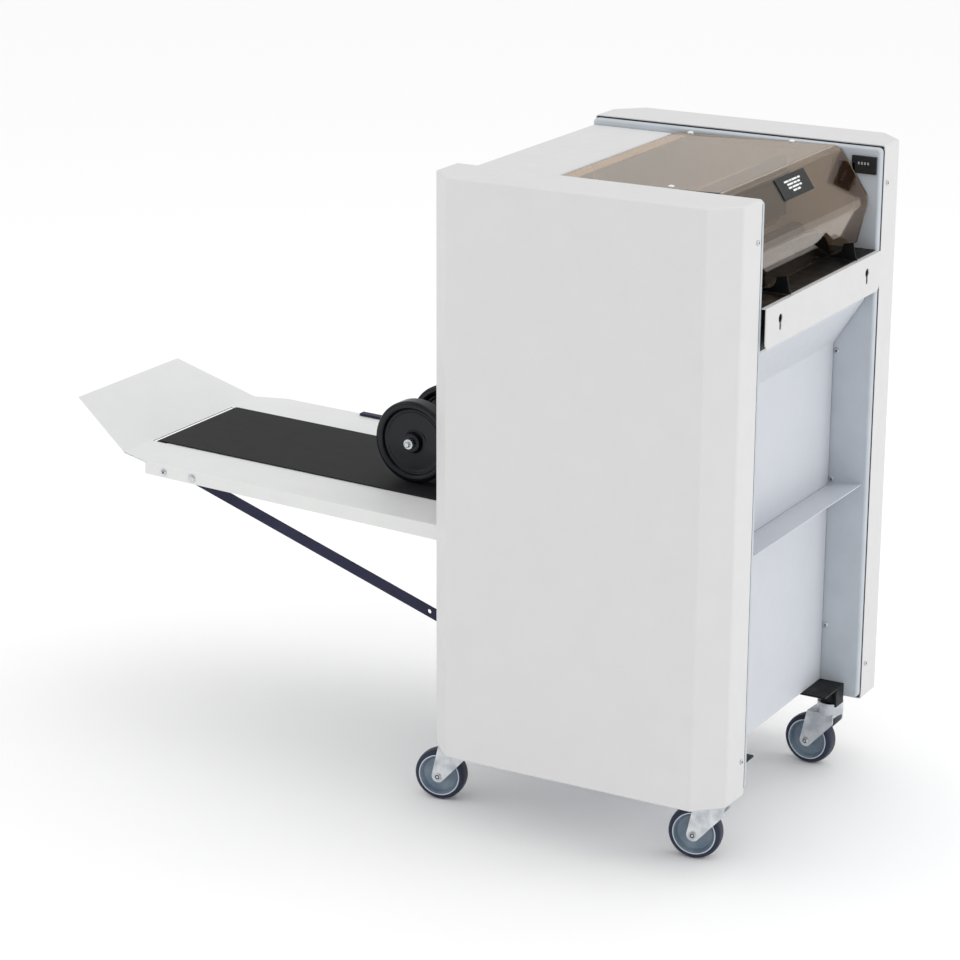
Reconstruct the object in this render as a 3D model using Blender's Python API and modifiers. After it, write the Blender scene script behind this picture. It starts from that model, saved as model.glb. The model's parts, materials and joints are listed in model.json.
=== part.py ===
"""Floor-standing booklet trimmer with a belt delivery stacker, on four swivel casters.

Metres, +Z up. Booklets go in at the +X end, under the smoked hood, and come out on the
stacker at the -X end. X is measured from the infeed edge of the side covers, and the empty
"machine" then moves everything so that the box around the object is centred on the origin.
"""
from math import atan2, cos, degrees, hypot, pi, radians, sin

import bmesh
import bpy
from mathutils import Matrix, Vector

# ---------------------------------------------------------------- driving dimensions
STAND_LENGTH = 0.448          # side covers, along X
INNER_WIDTH = 0.404           # between the inner edges of the two side covers
COVER_DEPTH = 0.089           # each side cover, along Y
COVER_CHAMFER = 0.0365
TOP_Z = 0.924                 # top of the side covers
COVER_CLEARANCE = 0.0053      # side covers' lower edge above the caster forks
FRAME_GAP = 0.012             # side frame's inner face, inside the cover's edge
FRAME_ROLL = 0.006            # rolled edge of the side frame
FRAME_SETBACK = 0.001         # side frame's edge, inside the cover's end
FRAME_FOOT = 0.005            # side frame's lower edge above the cover's
FRAME_DROP = 0.003            # side frame's top edge below the cover's

SHEET = 0.0015                # sheet-metal wall
PLATE = 0.003                 # bars and thick plates
CLEAR = 0.0003                # gap between pieces that touch
SIDE_CLEAR = 0.0015           # cross pieces to the side frames

DECK_DROP = 0.012             # deck below the covers' top
DECK_TO_HINGE = 0.0022        # deck's inner edge to the hinge knuckle
DECK_LIP = 0.030
BASE_RISE = 0.025             # base pan's underside above the covers' lower edge

INFEED_PANEL_X = -0.060
INFEED_BEND_DROP = 0.140      # the panel's lower bend below the table
INFEED_TOP_X = -0.016
INFEED_TOP_DROP = 0.072       # its upper bend below the table
BRACE_Z = 0.434
BRACE_RISE = 0.007

TABLE_DROP = 0.144            # infeed table below the covers' top
TABLE_EDGE_X = -0.003
TABLE_LENGTH = 0.097
TABLE_BOX = 0.0585            # height of the table's closed front
DOCK_FACE_X = 0.005
DOCK_HEIGHT = 0.0555
DOCK_DROP = 0.001             # docking plate's top below the table
DOCK_CORNER = 0.010
KEYHOLE_SPREAD = 0.144
KEYHOLE_R = 0.0060
KEYHOLE_SLOT = 0.0060
KEYHOLE_DEPTH = 0.022         # keyholes below the docking plate's top
KEYHOLE_DROP = 0.016

GUIDE_Y = 0.110               # side guides set for a page 210 mm wide
GUIDE_THICK = 0.002
GUIDE_IN = 0.045              # guide travel inwards
GUIDE_MARGIN = 0.0335         # guide at its outer end to the side frame
RACK_X = -0.066
RACK_BAR = 0.006
PINION_R = 0.012
PINION_THICK = 0.006

HOOD_HINGE_X = -0.3130
HOOD_HINGE_DROP = 0.0155      # hinge pin below the covers' top
HINGE_PIN_R = 0.002
HINGE_LEAF = 0.0018           # wall of the hinge leaf
HOOD_SIDE_GAP = 0.005         # hood to side frame
HOOD_WALL = 0.003

DISPLAY_SIZE = (0.0365, 0.0042, 0.0245)
DISPLAY_X = -0.0238
DISPLAY_DROP = 0.0268

CASTER_R = 0.0375
CASTER_WIDTH = 0.024
CASTER_TRAIL = 0.030
CASTER_INSET = {"infeed": 0.042, "outfeed": 0.004}
CASTER_HEADING = {"near": 10.0, "far": -4.0}     # degrees that each pair stands turned
FORK_CROWN_GAP = 0.005        # fork's crown above the wheel
FORK_HEAD = 0.0227            # fork's top above its crown
FORK_HALF_WIDTH = 0.0165
FORK_PLATE = 0.002
CASTER_PIN_R = 0.004
BRACKET_SIZE = (0.040, 0.067)
BRACKET_THICK = 0.003
BOSS_R = 0.0145
BRACKET_OUT = {"infeed": 0.020, "outfeed": 0.003}   # bracket's end beyond the stem
FORK_HEAD_R = 0.019
FORK_FOOT_R = 0.0093
CASTER_RIM_R = 0.0300
CASTER_BOLT_R = 0.0050        # head of the axle bolt

TRAY_GAP = 0.002              # stacker's bed to the cabinet
BED_Z = 0.4058                # bed at its inner end
TRAY_RISE = 1.75              # degrees
TRAY_SIDE_GAP = 0.008         # tray's side inside the covers' edges
TRAY_RAIL_END = 0.529
TRAY_FOLD = 0.5815
TRAY_TAPER = 0.0206
TRAY_RAIL_TIP = 0.018
TRAY_RAIL_ROOT = 0.022
TRAY_TAB_GAPS = (0.009, 0.0045)  # screw tabs to the belt and to the panel's end
TRAY_TAB_DROP = 0.022
END_PLATE_LENGTH = 0.128
END_PLATE_TURN = 24.75        # degrees up from the bed
END_PLATE_TAPER = 0.0449
BELT_HALF_WIDTH = 0.103
BELT_THICK = 0.002
ROLLER_R = 0.009
ROLLER_SHAFT_R = 0.004
IDLER_X = -0.566
DRIVE_X = 0.022

STRUT_REACH = 0.446           # strut's bolt from the bed's inner end
STRUT_BOLT_DROP = 0.00993     # and below the bed
STRUT_FOOT_OUT = 0.014
STRUT_FOOT_Z = 0.2645
STRUT_WIDTH = 0.016
STRUT_PIN_R = 0.003
STRUT_SPARE_HOLE = 0.036      # spare hole's distance from the foot

PRESS_WHEEL_R = 0.061
PRESS_WHEEL_WIDTH = 0.025
PRESS_WHEEL_Y = 0.050
PRESS_RUN = 0.134             # press wheels' axle from the arm's pivot, along X
PRESS_AXLE_R = 0.004
PRESS_AXLE_HALF = 0.077
PRESS_PIVOT_OUT = 0.020
PRESS_PIVOT_Z = 0.500
PRESS_PIVOT_R = 0.005
PRESS_ARM_HALF = 0.033
PRESS_ARM_HEIGHT = 0.016

OUTLET_MARGIN = 0.0235        # outlet to the panel's ends
OUTLET_Z = (0.370, 0.600)
DRAWER_SIDE = 0.0385          # drawer to the panel's ends
DRAWER_TOP_Z = 0.255
DRAWER_GAP = 0.0012           # drawer to its opening
DRAWER_MARGIN = 0.008

ROLLER_SETBACK = 0.018        # infeed rollers behind the table
LOWER_ROLLER_R = 0.012
UPPER_ROLLER_R = 0.014
ROLLER_NIP = 0.0006
KNIFE_SETBACK = 0.032         # knife behind the infeed rollers
KNIFE_THICK = 0.008
KNIFE_RISE = (0.020, 0.115)   # knife's edge and top above the table
LOWER_BLADE = (0.020, 0.025)  # width and depth
BLADE_SHAFT_RISE = 0.070
GEARBOX = (0.090, 0.045, 0.120)
GEARBOX_SHIFT = 0.005         # gearbox's middle from the knife
GEARBOX_DROP = 0.160          # and below the table
MOTOR_R = 0.036
MOTOR_LENGTH = 0.120
BLADE_SHAFT_R = 0.006
BLADE_PINION_R = 0.015

# ---------------------------------------------------------------- derived places
EDGE_Y = INNER_WIDTH / 2
OUTER_Y = EDGE_Y + COVER_DEPTH
FRAME_Y = EDGE_Y - FRAME_GAP
CROSS_HALF = FRAME_Y - SIDE_CLEAR
SHAFT_HALF = FRAME_Y - CLEAR
BACK_X = -STAND_LENGTH
PANEL_X = BACK_X + 0.00475    # middle of the outfeed panel's sheet
PANEL_FACE_X = PANEL_X - SHEET / 2
FORK_CROWN_Z = 2 * CASTER_R + FORK_CROWN_GAP
FORK_TOP_Z = FORK_CROWN_Z + FORK_HEAD
UNDERSIDE_Z = FORK_TOP_Z + COVER_CLEARANCE
FRAME_BOTTOM_Z = UNDERSIDE_Z + FRAME_FOOT
FRAME_TOP_Z = TOP_Z - FRAME_DROP
BASE_Z = UNDERSIDE_Z + BASE_RISE
DECK_Z = TOP_Z - DECK_DROP
TABLE_Z = TOP_Z - TABLE_DROP
TABLE_BACK_X = TABLE_EDGE_X - TABLE_LENGTH
DOCK_TOP_Z = TABLE_Z - DOCK_DROP
KEYHOLE_Z = DOCK_TOP_Z - KEYHOLE_DEPTH
GUIDE_OUT = CROSS_HALF - GUIDE_Y - GUIDE_MARGIN   # guide travel outwards
LOWER_ROLLER_X = TABLE_BACK_X - ROLLER_SETBACK
KNIFE_X = LOWER_ROLLER_X - KNIFE_SETBACK
HOOD_HINGE_Z = TOP_Z - HOOD_HINGE_DROP
HOOD_HALF_WIDTH = FRAME_Y - HOOD_SIDE_GAP
HINGE_KNUCKLE_R = HINGE_PIN_R + CLEAR + HINGE_LEAF
CASTER_STEM_X = {"infeed": -CASTER_INSET["infeed"], "outfeed": BACK_X + CASTER_INSET["outfeed"]}
OUTLET_HALF_WIDTH = CROSS_HALF - OUTLET_MARGIN
DRAWER_HALF_WIDTH = CROSS_HALF - DRAWER_SIDE
TRAY_HINGE = (BACK_X - TRAY_GAP, BED_Z)
TRAY_HALF_WIDTH = EDGE_Y - TRAY_SIDE_GAP
TRAY_FOLD_HALF = TRAY_HALF_WIDTH - TRAY_TAPER
TRAY_TAB = (BELT_HALF_WIDTH + TRAY_TAB_GAPS[0], CROSS_HALF - TRAY_TAB_GAPS[1])
END_PLATE_HALF = TRAY_FOLD_HALF - END_PLATE_TAPER
STRUT_FOOT = (BACK_X - STRUT_FOOT_OUT, STRUT_FOOT_Z)
PRESS_PIVOT = (BACK_X - PRESS_PIVOT_OUT, PRESS_PIVOT_Z)
PRESS_AXLE_X = PRESS_PIVOT[0] - PRESS_RUN
TRAY_TILT = radians(TRAY_RISE)
END_PLATE_TILT = TRAY_TILT + radians(END_PLATE_TURN)
TRAY_TIP_X = (TRAY_HINGE[0] - TRAY_FOLD * cos(TRAY_TILT)
              - END_PLATE_LENGTH * cos(END_PLATE_TILT) - SHEET / 2 * sin(END_PLATE_TILT))
SHIFT_X = -(TRAY_TIP_X + DOCK_FACE_X) / 2
BELT_GAP = 0.0004             # belt above the bed
ROLLER_DROP = ROLLER_R + CLEAR - BELT_GAP


def bed_height(x):
    return TRAY_HINGE[1] + (TRAY_HINGE[0] - x) * sin(TRAY_TILT) / cos(TRAY_TILT)


STRUT_TOP_X = TRAY_HINGE[0] - STRUT_REACH
STRUT_TOP = (STRUT_TOP_X, bed_height(STRUT_TOP_X) - STRUT_BOLT_DROP)

for item in list(bpy.data.objects):
    bpy.data.objects.remove(item, do_unlink=True)
parts = bpy.data.collections.new("booklet_trimmer")
cutters = bpy.data.collections.new("cutters")
bpy.context.scene.collection.children.link(parts)
bpy.context.scene.collection.children.link(cutters)


# ---------------------------------------------------------------- materials
def paint(name, colour, roughness, metallic=0.0, alpha=1.0):
    material = bpy.data.materials.new(name)
    material.use_nodes = True
    shader = material.node_tree.nodes["Principled BSDF"]
    shader.inputs["Base Color"].default_value = (*colour, 1.0)
    shader.inputs["Roughness"].default_value = roughness
    shader.inputs["Metallic"].default_value = metallic
    shader.inputs["Alpha"].default_value = alpha
    material.diffuse_color = (*colour, alpha)
    return material


COVER_PAINT = paint("cover_paint", (0.70, 0.70, 0.69), 0.55)
FRAME_PAINT = paint("frame_paint", (0.55, 0.58, 0.62), 0.50)
PANEL_PAINT = paint("panel_paint", (0.68, 0.69, 0.71), 0.50)
DOCK_WHITE = paint("dock_white", (0.82, 0.82, 0.82), 0.45)
BLACK_STEEL = paint("black_steel", (0.02, 0.02, 0.025), 0.45)
NAVY_STEEL = paint("navy_steel", (0.03, 0.035, 0.06), 0.40, 0.3)
BARE_STEEL = paint("bare_steel", (0.60, 0.62, 0.64), 0.30, 1.0)
TRAY_SHEET = paint("tray_sheet", (0.66, 0.67, 0.67), 0.45, 0.2)
BELT_RUBBER = paint("belt_rubber", (0.025, 0.025, 0.03), 0.75)
WHEEL_BLACK = paint("wheel_black", (0.012, 0.012, 0.015), 0.25)
CASTER_GREY = paint("caster_grey", (0.14, 0.18, 0.22), 0.45)
SMOKED = paint("smoked_acrylic", (0.20, 0.14, 0.10), 0.12, 0.0, 0.5)
TRIM_BLACK = paint("trim_black", (0.02, 0.02, 0.02), 0.35)
MOTOR_GREY = paint("motor_grey", (0.30, 0.31, 0.32), 0.45, 0.4)


# ---------------------------------------------------------------- helpers
def empty(name, parent=None, at=(0, 0, 0), turn=(0, 0, 0)):
    anchor = bpy.data.objects.new(name, None)
    anchor.location = at
    anchor.rotation_euler = turn
    anchor.parent = parent
    parts.objects.link(anchor)
    return anchor


MACHINE = empty("machine", at=(SHIFT_X, 0, 0))


def finish(name, mesh, material, parent=None, at=(0, 0, 0), turn=(0, 0, 0), cutter=False):
    thing = bpy.data.objects.new(name, mesh)
    thing.location = at
    thing.rotation_euler = turn
    thing.parent = parent or MACHINE
    if cutter:
        thing.hide_render = True
        thing.display_type = "WIRE"
        cutters.objects.link(thing)
    else:
        mesh.materials.append(material)
        parts.objects.link(thing)
    return thing


def mesh_of(name, bm):
    mesh = bpy.data.meshes.new(name)
    bm.to_mesh(mesh)
    bm.free()
    return mesh


def block(low, high):
    """A bmesh box between two corners."""
    bm = bmesh.new()
    low, high = Vector(low), Vector(high)
    bmesh.ops.create_cube(bm, size=1.0)
    bmesh.ops.scale(bm, vec=high - low, verts=bm.verts)
    bmesh.ops.translate(bm, vec=(low + high) / 2, verts=bm.verts)
    return bm


def box(name, low, high, material=None, **where):
    return finish(name, mesh_of(name, block(low, high)), material, **where)


def rod(name, radius, length, material=None, axis="Y", sides=24, **where):
    """A round bar, centred on its object's origin."""
    bm = bmesh.new()
    bmesh.ops.create_cone(bm, cap_ends=True, segments=sides, radius1=radius, radius2=radius,
                          depth=length)
    turn = {"Y": Matrix.Rotation(pi / 2, 3, "X"), "X": Matrix.Rotation(pi / 2, 3, "Y"),
            "Z": Matrix.Identity(3)}[axis]
    bmesh.ops.rotate(bm, cent=(0, 0, 0), matrix=turn, verts=bm.verts)
    mesh = mesh_of(name, bm)
    mesh.shade_smooth()
    mesh.set_sharp_from_angle(angle=radians(40))
    return finish(name, mesh, material, **where)


def circle(radius, centre=(0, 0), sides=20):
    return [(centre[0] + radius * cos(2 * pi * i / sides),
             centre[1] + radius * sin(2 * pi * i / sides)) for i in range(sides)]


def arc(centre, radius, start, stop, steps):
    """Points on an arc, angles in degrees."""
    angles = [radians(start + (stop - start) * i / steps) for i in range(steps + 1)]
    return [(centre[0] + radius * cos(a), centre[1] + radius * sin(a)) for a in angles]


def plate(name, loops, thickness, material=None, plane="XZ", at=(0, 0, 0), **where):
    """A flat plate from an outline and its holes, halved by the plane through its place."""
    curve = bpy.data.curves.new(name, "CURVE")
    curve.dimensions = "2D"
    curve.fill_mode = "BOTH"
    curve.extrude = thickness / 2
    for loop in loops:
        spline = curve.splines.new("POLY")
        spline.points.add(len(loop) - 1)
        for point, (u, v) in zip(spline.points, loop):
            point.co = (u, v, 0, 1)
        spline.use_cyclic_u = True
    guide = bpy.data.objects.new(name + "_outline", curve)
    parts.objects.link(guide)
    bpy.context.view_layer.update()
    graph = bpy.context.evaluated_depsgraph_get()
    mesh = bpy.data.meshes.new_from_object(guide.evaluated_get(graph))
    bpy.data.objects.remove(guide, do_unlink=True)
    bpy.data.curves.remove(curve)
    bm = bmesh.new()
    bm.from_mesh(mesh)
    bpy.data.meshes.remove(mesh)
    bmesh.ops.remove_doubles(bm, verts=bm.verts, dist=1e-6)
    turn = {"XY": Matrix.Identity(3),
            "XZ": Matrix.Rotation(pi / 2, 3, "X"),
            "YZ": Matrix.Rotation(pi / 2, 3, "Z") @ Matrix.Rotation(pi / 2, 3, "X")}[plane]
    bmesh.ops.rotate(bm, cent=(0, 0, 0), matrix=turn, verts=bm.verts)
    return finish(name, mesh_of(name, bm), material, at=at, **where)


def thicken(thing, thickness, offset):
    wall = thing.modifiers.new("wall", "SOLIDIFY")
    wall.thickness = thickness
    wall.offset = offset
    wall.use_even_offset = True
    return wall


def folded(name, path, half_width, material, thickness=SHEET, **where):
    """A sheet bent along an XZ path, which is the middle of its wall, and straight in Y."""
    bm = bmesh.new()
    points = [bm.verts.new((x, -half_width, z)) for x, z in path]
    edges = [bm.edges.new(pair) for pair in zip(points, points[1:])]
    swept = bmesh.ops.extrude_edge_only(bm, edges=edges)["geom"]
    moved = [v for v in swept if isinstance(v, bmesh.types.BMVert)]
    bmesh.ops.translate(bm, vec=(0, 2 * half_width, 0), verts=moved)
    thing = finish(name, mesh_of(name, bm), material, **where)
    thicken(thing, thickness, 0.0)
    return thing


def tray_box(name, low, high, is_open, material, thickness=SHEET, soften=None, **where):
    """A box of sheet metal without the faces for which is_open(face centre) is true."""
    bm = block(low, high)
    if soften:
        soften(bm)
    bmesh.ops.delete(bm, geom=[f for f in bm.faces if is_open(f.calc_center_median())],
                     context="FACES")
    thing = finish(name, mesh_of(name, bm), material, **where)
    thicken(thing, thickness, -1.0)
    return thing


def combine(target, operation, *tools):
    """Cut tools out of a piece, or weld them to it."""
    for tool in tools:
        step = target.modifiers.new(operation.lower(), "BOOLEAN")
        step.operation = operation
        step.object = tool
        step.solver = "EXACT"
    return target


def turned(name, profile, material, sides=32, **where):
    """A solid turned about Y: the profile is (radius, y), listed down its outer side."""
    mesh = bpy.data.meshes.new(name)
    count = len(profile)
    closed = profile[0][0] > 1e-6
    edges = [(i, i + 1) for i in range(count - 1)] + ([(count - 1, 0)] if closed else [])
    mesh.from_pydata([(r, 0, h) for r, h in profile], edges, [])
    mesh.transform(Matrix.Rotation(-pi / 2, 4, "X"))
    thing = finish(name, mesh, material, **where)
    lathe = thing.modifiers.new("lathe", "SCREW")
    lathe.axis = "Y"
    lathe.steps = sides
    lathe.render_steps = sides
    lathe.use_merge_vertices = True
    lathe.merge_threshold = 0.00001
    lathe.use_smooth_shade = False
    return thing


SIDES = {"near": -1, "far": 1}
ENDS = ("infeed", "outfeed")


def span(side, a, b):
    """Lowest and highest Y of a stretch between two distances from the middle."""
    return tuple(sorted((side * a, side * b)))


# ---------------------------------------------------------------- stand
def side_cover(where, side):
    y_low, y_high = span(side, EDGE_Y, OUTER_Y)

    def chamfer(bm):
        uprights = [e for e in bm.edges
                    if abs(e.verts[0].co.z - e.verts[1].co.z) > 0.1
                    and all(abs(abs(v.co.y) - OUTER_Y) < 1e-5 for v in e.verts)]
        bmesh.ops.bevel(bm, geom=uprights, offset=COVER_CHAMFER, segments=1, profile=0.5,
                        affect="EDGES")

    tray_box("side_cover_" + where, (BACK_X, y_low, UNDERSIDE_Z), (0, y_high, TOP_Z),
             lambda c: abs(abs(c.y) - EDGE_Y) < 1e-5, COVER_PAINT, soften=chamfer)


def side_frame(where, side):
    depth_end = EDGE_Y - 0.0022
    y_low, y_high = span(side, FRAME_Y, depth_end)

    def roll(bm):
        rim = [e for e in bm.edges if all(abs(abs(v.co.y) - FRAME_Y) < 1e-5 for v in e.verts)]
        bmesh.ops.bevel(bm, geom=rim, offset=FRAME_ROLL, segments=3, profile=0.5,
                        affect="EDGES")

    tray_box("side_frame_" + where, (BACK_X + FRAME_SETBACK, y_low, FRAME_BOTTOM_Z),
             (-FRAME_SETBACK, y_high, FRAME_TOP_Z),
             lambda c: abs(abs(c.y) - depth_end) < 1e-5, FRAME_PAINT, soften=roll)


def deck_cover():
    left = PANEL_FACE_X - SHEET / 2 - CLEAR
    right = HOOD_HINGE_X - HINGE_KNUCKLE_R - DECK_TO_HINGE - SHEET / 2
    top = DECK_Z - SHEET / 2
    path = [(left, DECK_Z - DECK_LIP), (left, top), (right, top), (right, DECK_Z - DECK_LIP / 2)]
    folded("deck_cover", path, CROSS_HALF, COVER_PAINT)


def outfeed_panel():
    """The end wall, with the outlet, a notch for the drawer and the power openings."""
    top = DECK_Z - SHEET - CLEAR
    notch, notch_top = DRAWER_HALF_WIDTH + DRAWER_GAP, DRAWER_TOP_Z + DRAWER_GAP
    outline = [(-CROSS_HALF, BASE_Z), (-notch, BASE_Z), (-notch, notch_top), (notch, notch_top),
               (notch, BASE_Z), (CROSS_HALF, BASE_Z), (CROSS_HALF, top), (-CROSS_HALF, top)]
    outlet = rectangle((0, sum(OUTLET_Z) / 2), OUTLET_HALF_WIDTH, (OUTLET_Z[1] - OUTLET_Z[0]) / 2)
    inlet = rectangle(INLET_CENTRE, INLET_SIZE[0] / 2 + CLEAR, INLET_SIZE[1] / 2 + CLEAR)
    rocker = rectangle(ROCKER_CENTRE, ROCKER_SIZE[0] / 2 + 2 * CLEAR, ROCKER_SIZE[1] / 2 + 2 * CLEAR)
    plate("outfeed_panel", [outline, outlet, inlet, rocker], SHEET, PANEL_PAINT, plane="YZ",
          at=(PANEL_X, 0, 0))


def rectangle(centre, half_u, half_v):
    u, v = centre
    return [(u - half_u, v - half_v), (u + half_u, v - half_v),
            (u + half_u, v + half_v), (u - half_u, v + half_v)]


INLET_CENTRE = (-0.110, 0.310)
INLET_SIZE = (0.0275, 0.0195)
ROCKER_CENTRE = (-0.070, 0.310)
ROCKER_SIZE = (0.0190, 0.0130)


def power_inlet():
    """An appliance inlet: a body through the panel, a flange outside it and a socket well."""
    u, v = INLET_CENTRE
    half_u, half_v = INLET_SIZE[0] / 2, INLET_SIZE[1] / 2
    face = PANEL_FACE_X - CLEAR
    inlet = box("power_inlet", (face - 0.002, u - half_u - 0.004, v - half_v - 0.003),
                (face, u + half_u + 0.004, v + half_v + 0.003), TRIM_BLACK)
    body = box("inlet_body", (face - 0.001, u - half_u, v - half_v),
               (face + 0.026, u + half_u, v + half_v), cutter=True)
    well = box("inlet_well", (face - 0.003, u - half_u + 0.002, v - half_v + 0.002),
               (face + 0.017, u + half_u - 0.002, v + half_v - 0.002), cutter=True)
    combine(inlet, "UNION", body)
    combine(inlet, "DIFFERENCE", well)


def power_rocker():
    u, v = ROCKER_CENTRE
    w, h = ROCKER_SIZE[0] / 2, ROCKER_SIZE[1] / 2
    tilt, front = 0.0010, 0.0030
    outline = [(0.0035, -h + 0.001), (0.0035, h - 0.001), (-front + tilt, h - 0.0012),
               (-front + 0.0006, 0), (-front - tilt, -h + 0.0012)]
    plate("power_rocker", [outline], 2 * w, TRIM_BLACK, plane="XZ", at=(PANEL_X, u, v))


def base_pan():
    low = PANEL_X + SHEET / 2 + CLEAR
    box("base_pan", (low, -CROSS_HALF, BASE_Z),
        (INFEED_PANEL_X - SHEET / 2 - CLEAR, CROSS_HALF, BASE_Z + SHEET), PANEL_PAINT)


def infeed_panel():
    path = [(INFEED_PANEL_X, BASE_Z), (INFEED_PANEL_X, TABLE_Z - INFEED_BEND_DROP),
            (INFEED_TOP_X, TABLE_Z - INFEED_TOP_DROP),
            (INFEED_TOP_X, TABLE_Z - TABLE_BOX - 2 * CLEAR)]
    folded("infeed_panel", path, CROSS_HALF, PANEL_PAINT)


def cross_brace():
    front, back = -0.0090, INFEED_PANEL_X + SHEET / 2 + CLEAR
    half_rise = BRACE_RISE / 2
    path = [(front + 0.001, BRACE_Z + half_rise), (back + 0.001, BRACE_Z - half_rise),
            (back + 0.001, BRACE_Z - half_rise - 0.018)]
    folded("cross_brace", path, CROSS_HALF, PANEL_PAINT)


def docking_plate():
    w, low, top, r = FRAME_Y, DOCK_TOP_Z - DOCK_HEIGHT, DOCK_TOP_Z, DOCK_CORNER
    outline = ([(w, top), (-w, top)] + arc((-w + r, low + r), r, 180, 270, 5)
               + arc((w - r, low + r), r, 270, 360, 5))
    middle = DOCK_FACE_X - SHEET / 2
    dock = plate("docking_plate", [outline] + [keyhole(s * KEYHOLE_SPREAD) for s in (-1, 1)],
                 SHEET, DOCK_WHITE, plane="YZ", at=(middle, 0, 0))
    lip = box("docking_lip", (TABLE_EDGE_X + 3 * CLEAR, -w + 0.0005, top - SHEET),
              (middle, w - 0.0005, top), cutter=True)
    combine(dock, "UNION", lip)


def keyhole(y):
    """A round hole with a narrower slot below it, for a headed pin."""
    half = KEYHOLE_SLOT / 2
    mouth = degrees(atan2(half, (KEYHOLE_R ** 2 - half ** 2) ** 0.5))
    ring = arc((y, KEYHOLE_Z), KEYHOLE_R, -90 + mouth, 270 - mouth, 14)
    foot = arc((y, KEYHOLE_Z - KEYHOLE_DROP + half), half, 180, 360, 5)
    return ring + foot


# ---------------------------------------------------------------- infeed
def infeed_table():
    low = (TABLE_BACK_X, -CROSS_HALF, TABLE_Z - TABLE_BOX)
    table = tray_box("infeed_table", low, (TABLE_EDGE_X, CROSS_HALF, TABLE_Z),
                     lambda c: c.z < low[2] + 1e-5 or c.x < low[0] + 1e-5, BLACK_STEEL)
    for where, side in SIDES.items():
        x = guide_foot_x(side)
        y_low, y_high = span(side, GUIDE_Y - GUIDE_IN - 0.003, GUIDE_Y + GUIDE_OUT + 0.003)
        slot = box("guide_slot_" + where, (x - RACK_BAR / 2 - 0.001, y_low, TABLE_Z - 0.004),
                   (x + RACK_BAR / 2 + 0.001, y_high, TABLE_Z + 0.002), cutter=True)
        combine(table, "DIFFERENCE", slot)


def guide_foot_x(side):
    """Racks run on opposite sides of the pinion."""
    return RACK_X + side * (PINION_R + RACK_BAR / 2 + CLEAR)


def side_guide(where, side):
    z0 = TABLE_Z + 0.001
    x_foot = guide_foot_x(side)
    outline = ([(0.0038, z0), (0.0008, z0 + 0.006), (-0.0030, z0 + 0.0245), (-0.0170, z0 + 0.0215)]
               + arc((-0.0300, z0 + 0.0165), 0.0115, -10, -150, 8)
               + [(-0.0440, z0 + 0.0230), (-0.0520, z0 + 0.0330), (-0.0600, z0 + 0.0330),
                  (-0.0920, z0 + 0.0180), (-0.0920, z0)])
    guide = plate("side_guide_" + where, [outline], GUIDE_THICK, BLACK_STEEL,
                  at=(0, side * GUIDE_Y, 0))
    rack_z = TABLE_Z - 0.016
    stem = box("guide_stem_" + where, (x_foot - RACK_BAR / 2, -GUIDE_THICK / 2, rack_z),
               (x_foot + RACK_BAR / 2, GUIDE_THICK / 2, z0 + 0.006), cutter=True,
               at=(0, side * GUIDE_Y, 0))
    reach = span(-side, -GUIDE_THICK / 2, GUIDE_Y + GUIDE_OUT + 0.012)
    rack = box("guide_rack_" + where, (x_foot - RACK_BAR / 2, reach[0], rack_z),
               (x_foot + RACK_BAR / 2, reach[1], rack_z + RACK_BAR), cutter=True,
               at=(0, side * GUIDE_Y, 0))
    combine(guide, "UNION", stem, rack)


def guide_pinion():
    rod("guide_pinion", PINION_R - CLEAR, PINION_THICK, BARE_STEEL, axis="Z",
        at=(RACK_X, 0, TABLE_Z - 0.013))


def infeed_rollers():
    x, z = LOWER_ROLLER_X, TABLE_Z - LOWER_ROLLER_R
    roller_with_shaft("infeed_roller_lower", LOWER_ROLLER_R, CROSS_HALF - 0.014, SHAFT_HALF,
                      BELT_RUBBER, at=(x, 0, z))
    upper_z = TABLE_Z + ROLLER_NIP + UPPER_ROLLER_R
    roller_with_shaft("infeed_roller_upper", UPPER_ROLLER_R, CROSS_HALF - 0.014, SHAFT_HALF,
                      BELT_RUBBER, at=(x, 0, upper_z))


def roller_with_shaft(name, radius, half_roller, half_shaft, material, shaft=ROLLER_SHAFT_R,
                      **where):
    profile = [(0, half_shaft), (shaft, half_shaft), (shaft, half_roller), (radius, half_roller),
               (radius, -half_roller), (shaft, -half_roller), (shaft, -half_shaft), (0, -half_shaft)]
    return turned(name, profile, material, sides=24, **where)


# ---------------------------------------------------------------- trimmer
def lower_blade():
    right = KNIFE_X - KNIFE_THICK / 2 - CLEAR
    width, depth = LOWER_BLADE
    box("lower_blade", (right - width, -CROSS_HALF, TABLE_Z - depth),
        (right, CROSS_HALF, TABLE_Z), BARE_STEEL)


def knife_beam():
    """The moving upper blade, ground to an edge on its -X side."""
    half, (low, top) = KNIFE_THICK / 2, [TABLE_Z + rise for rise in KNIFE_RISE]
    outline = [(-half, low), (half, low + 0.010), (half, top), (-half, top)]
    plate("knife_beam", [outline], 2 * (CROSS_HALF - 0.008), BARE_STEEL, at=(KNIFE_X, 0, 0))


def blade_shaft():
    x = KNIFE_X - KNIFE_THICK / 2 - CLEAR - BLADE_PINION_R
    edge, wide, half = CROSS_HALF - 0.012, 0.010, SHAFT_HALF
    r, big = BLADE_SHAFT_R, BLADE_PINION_R
    profile = [(0, half), (r, half), (r, edge), (big, edge), (big, edge - wide), (r, edge - wide),
               (r, wide - edge), (big, wide - edge), (big, -edge), (r, -edge), (r, -half), (0, -half)]
    turned("blade_shaft", profile, BARE_STEEL, sides=24, at=(x, 0, TABLE_Z + BLADE_SHAFT_RISE))


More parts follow.
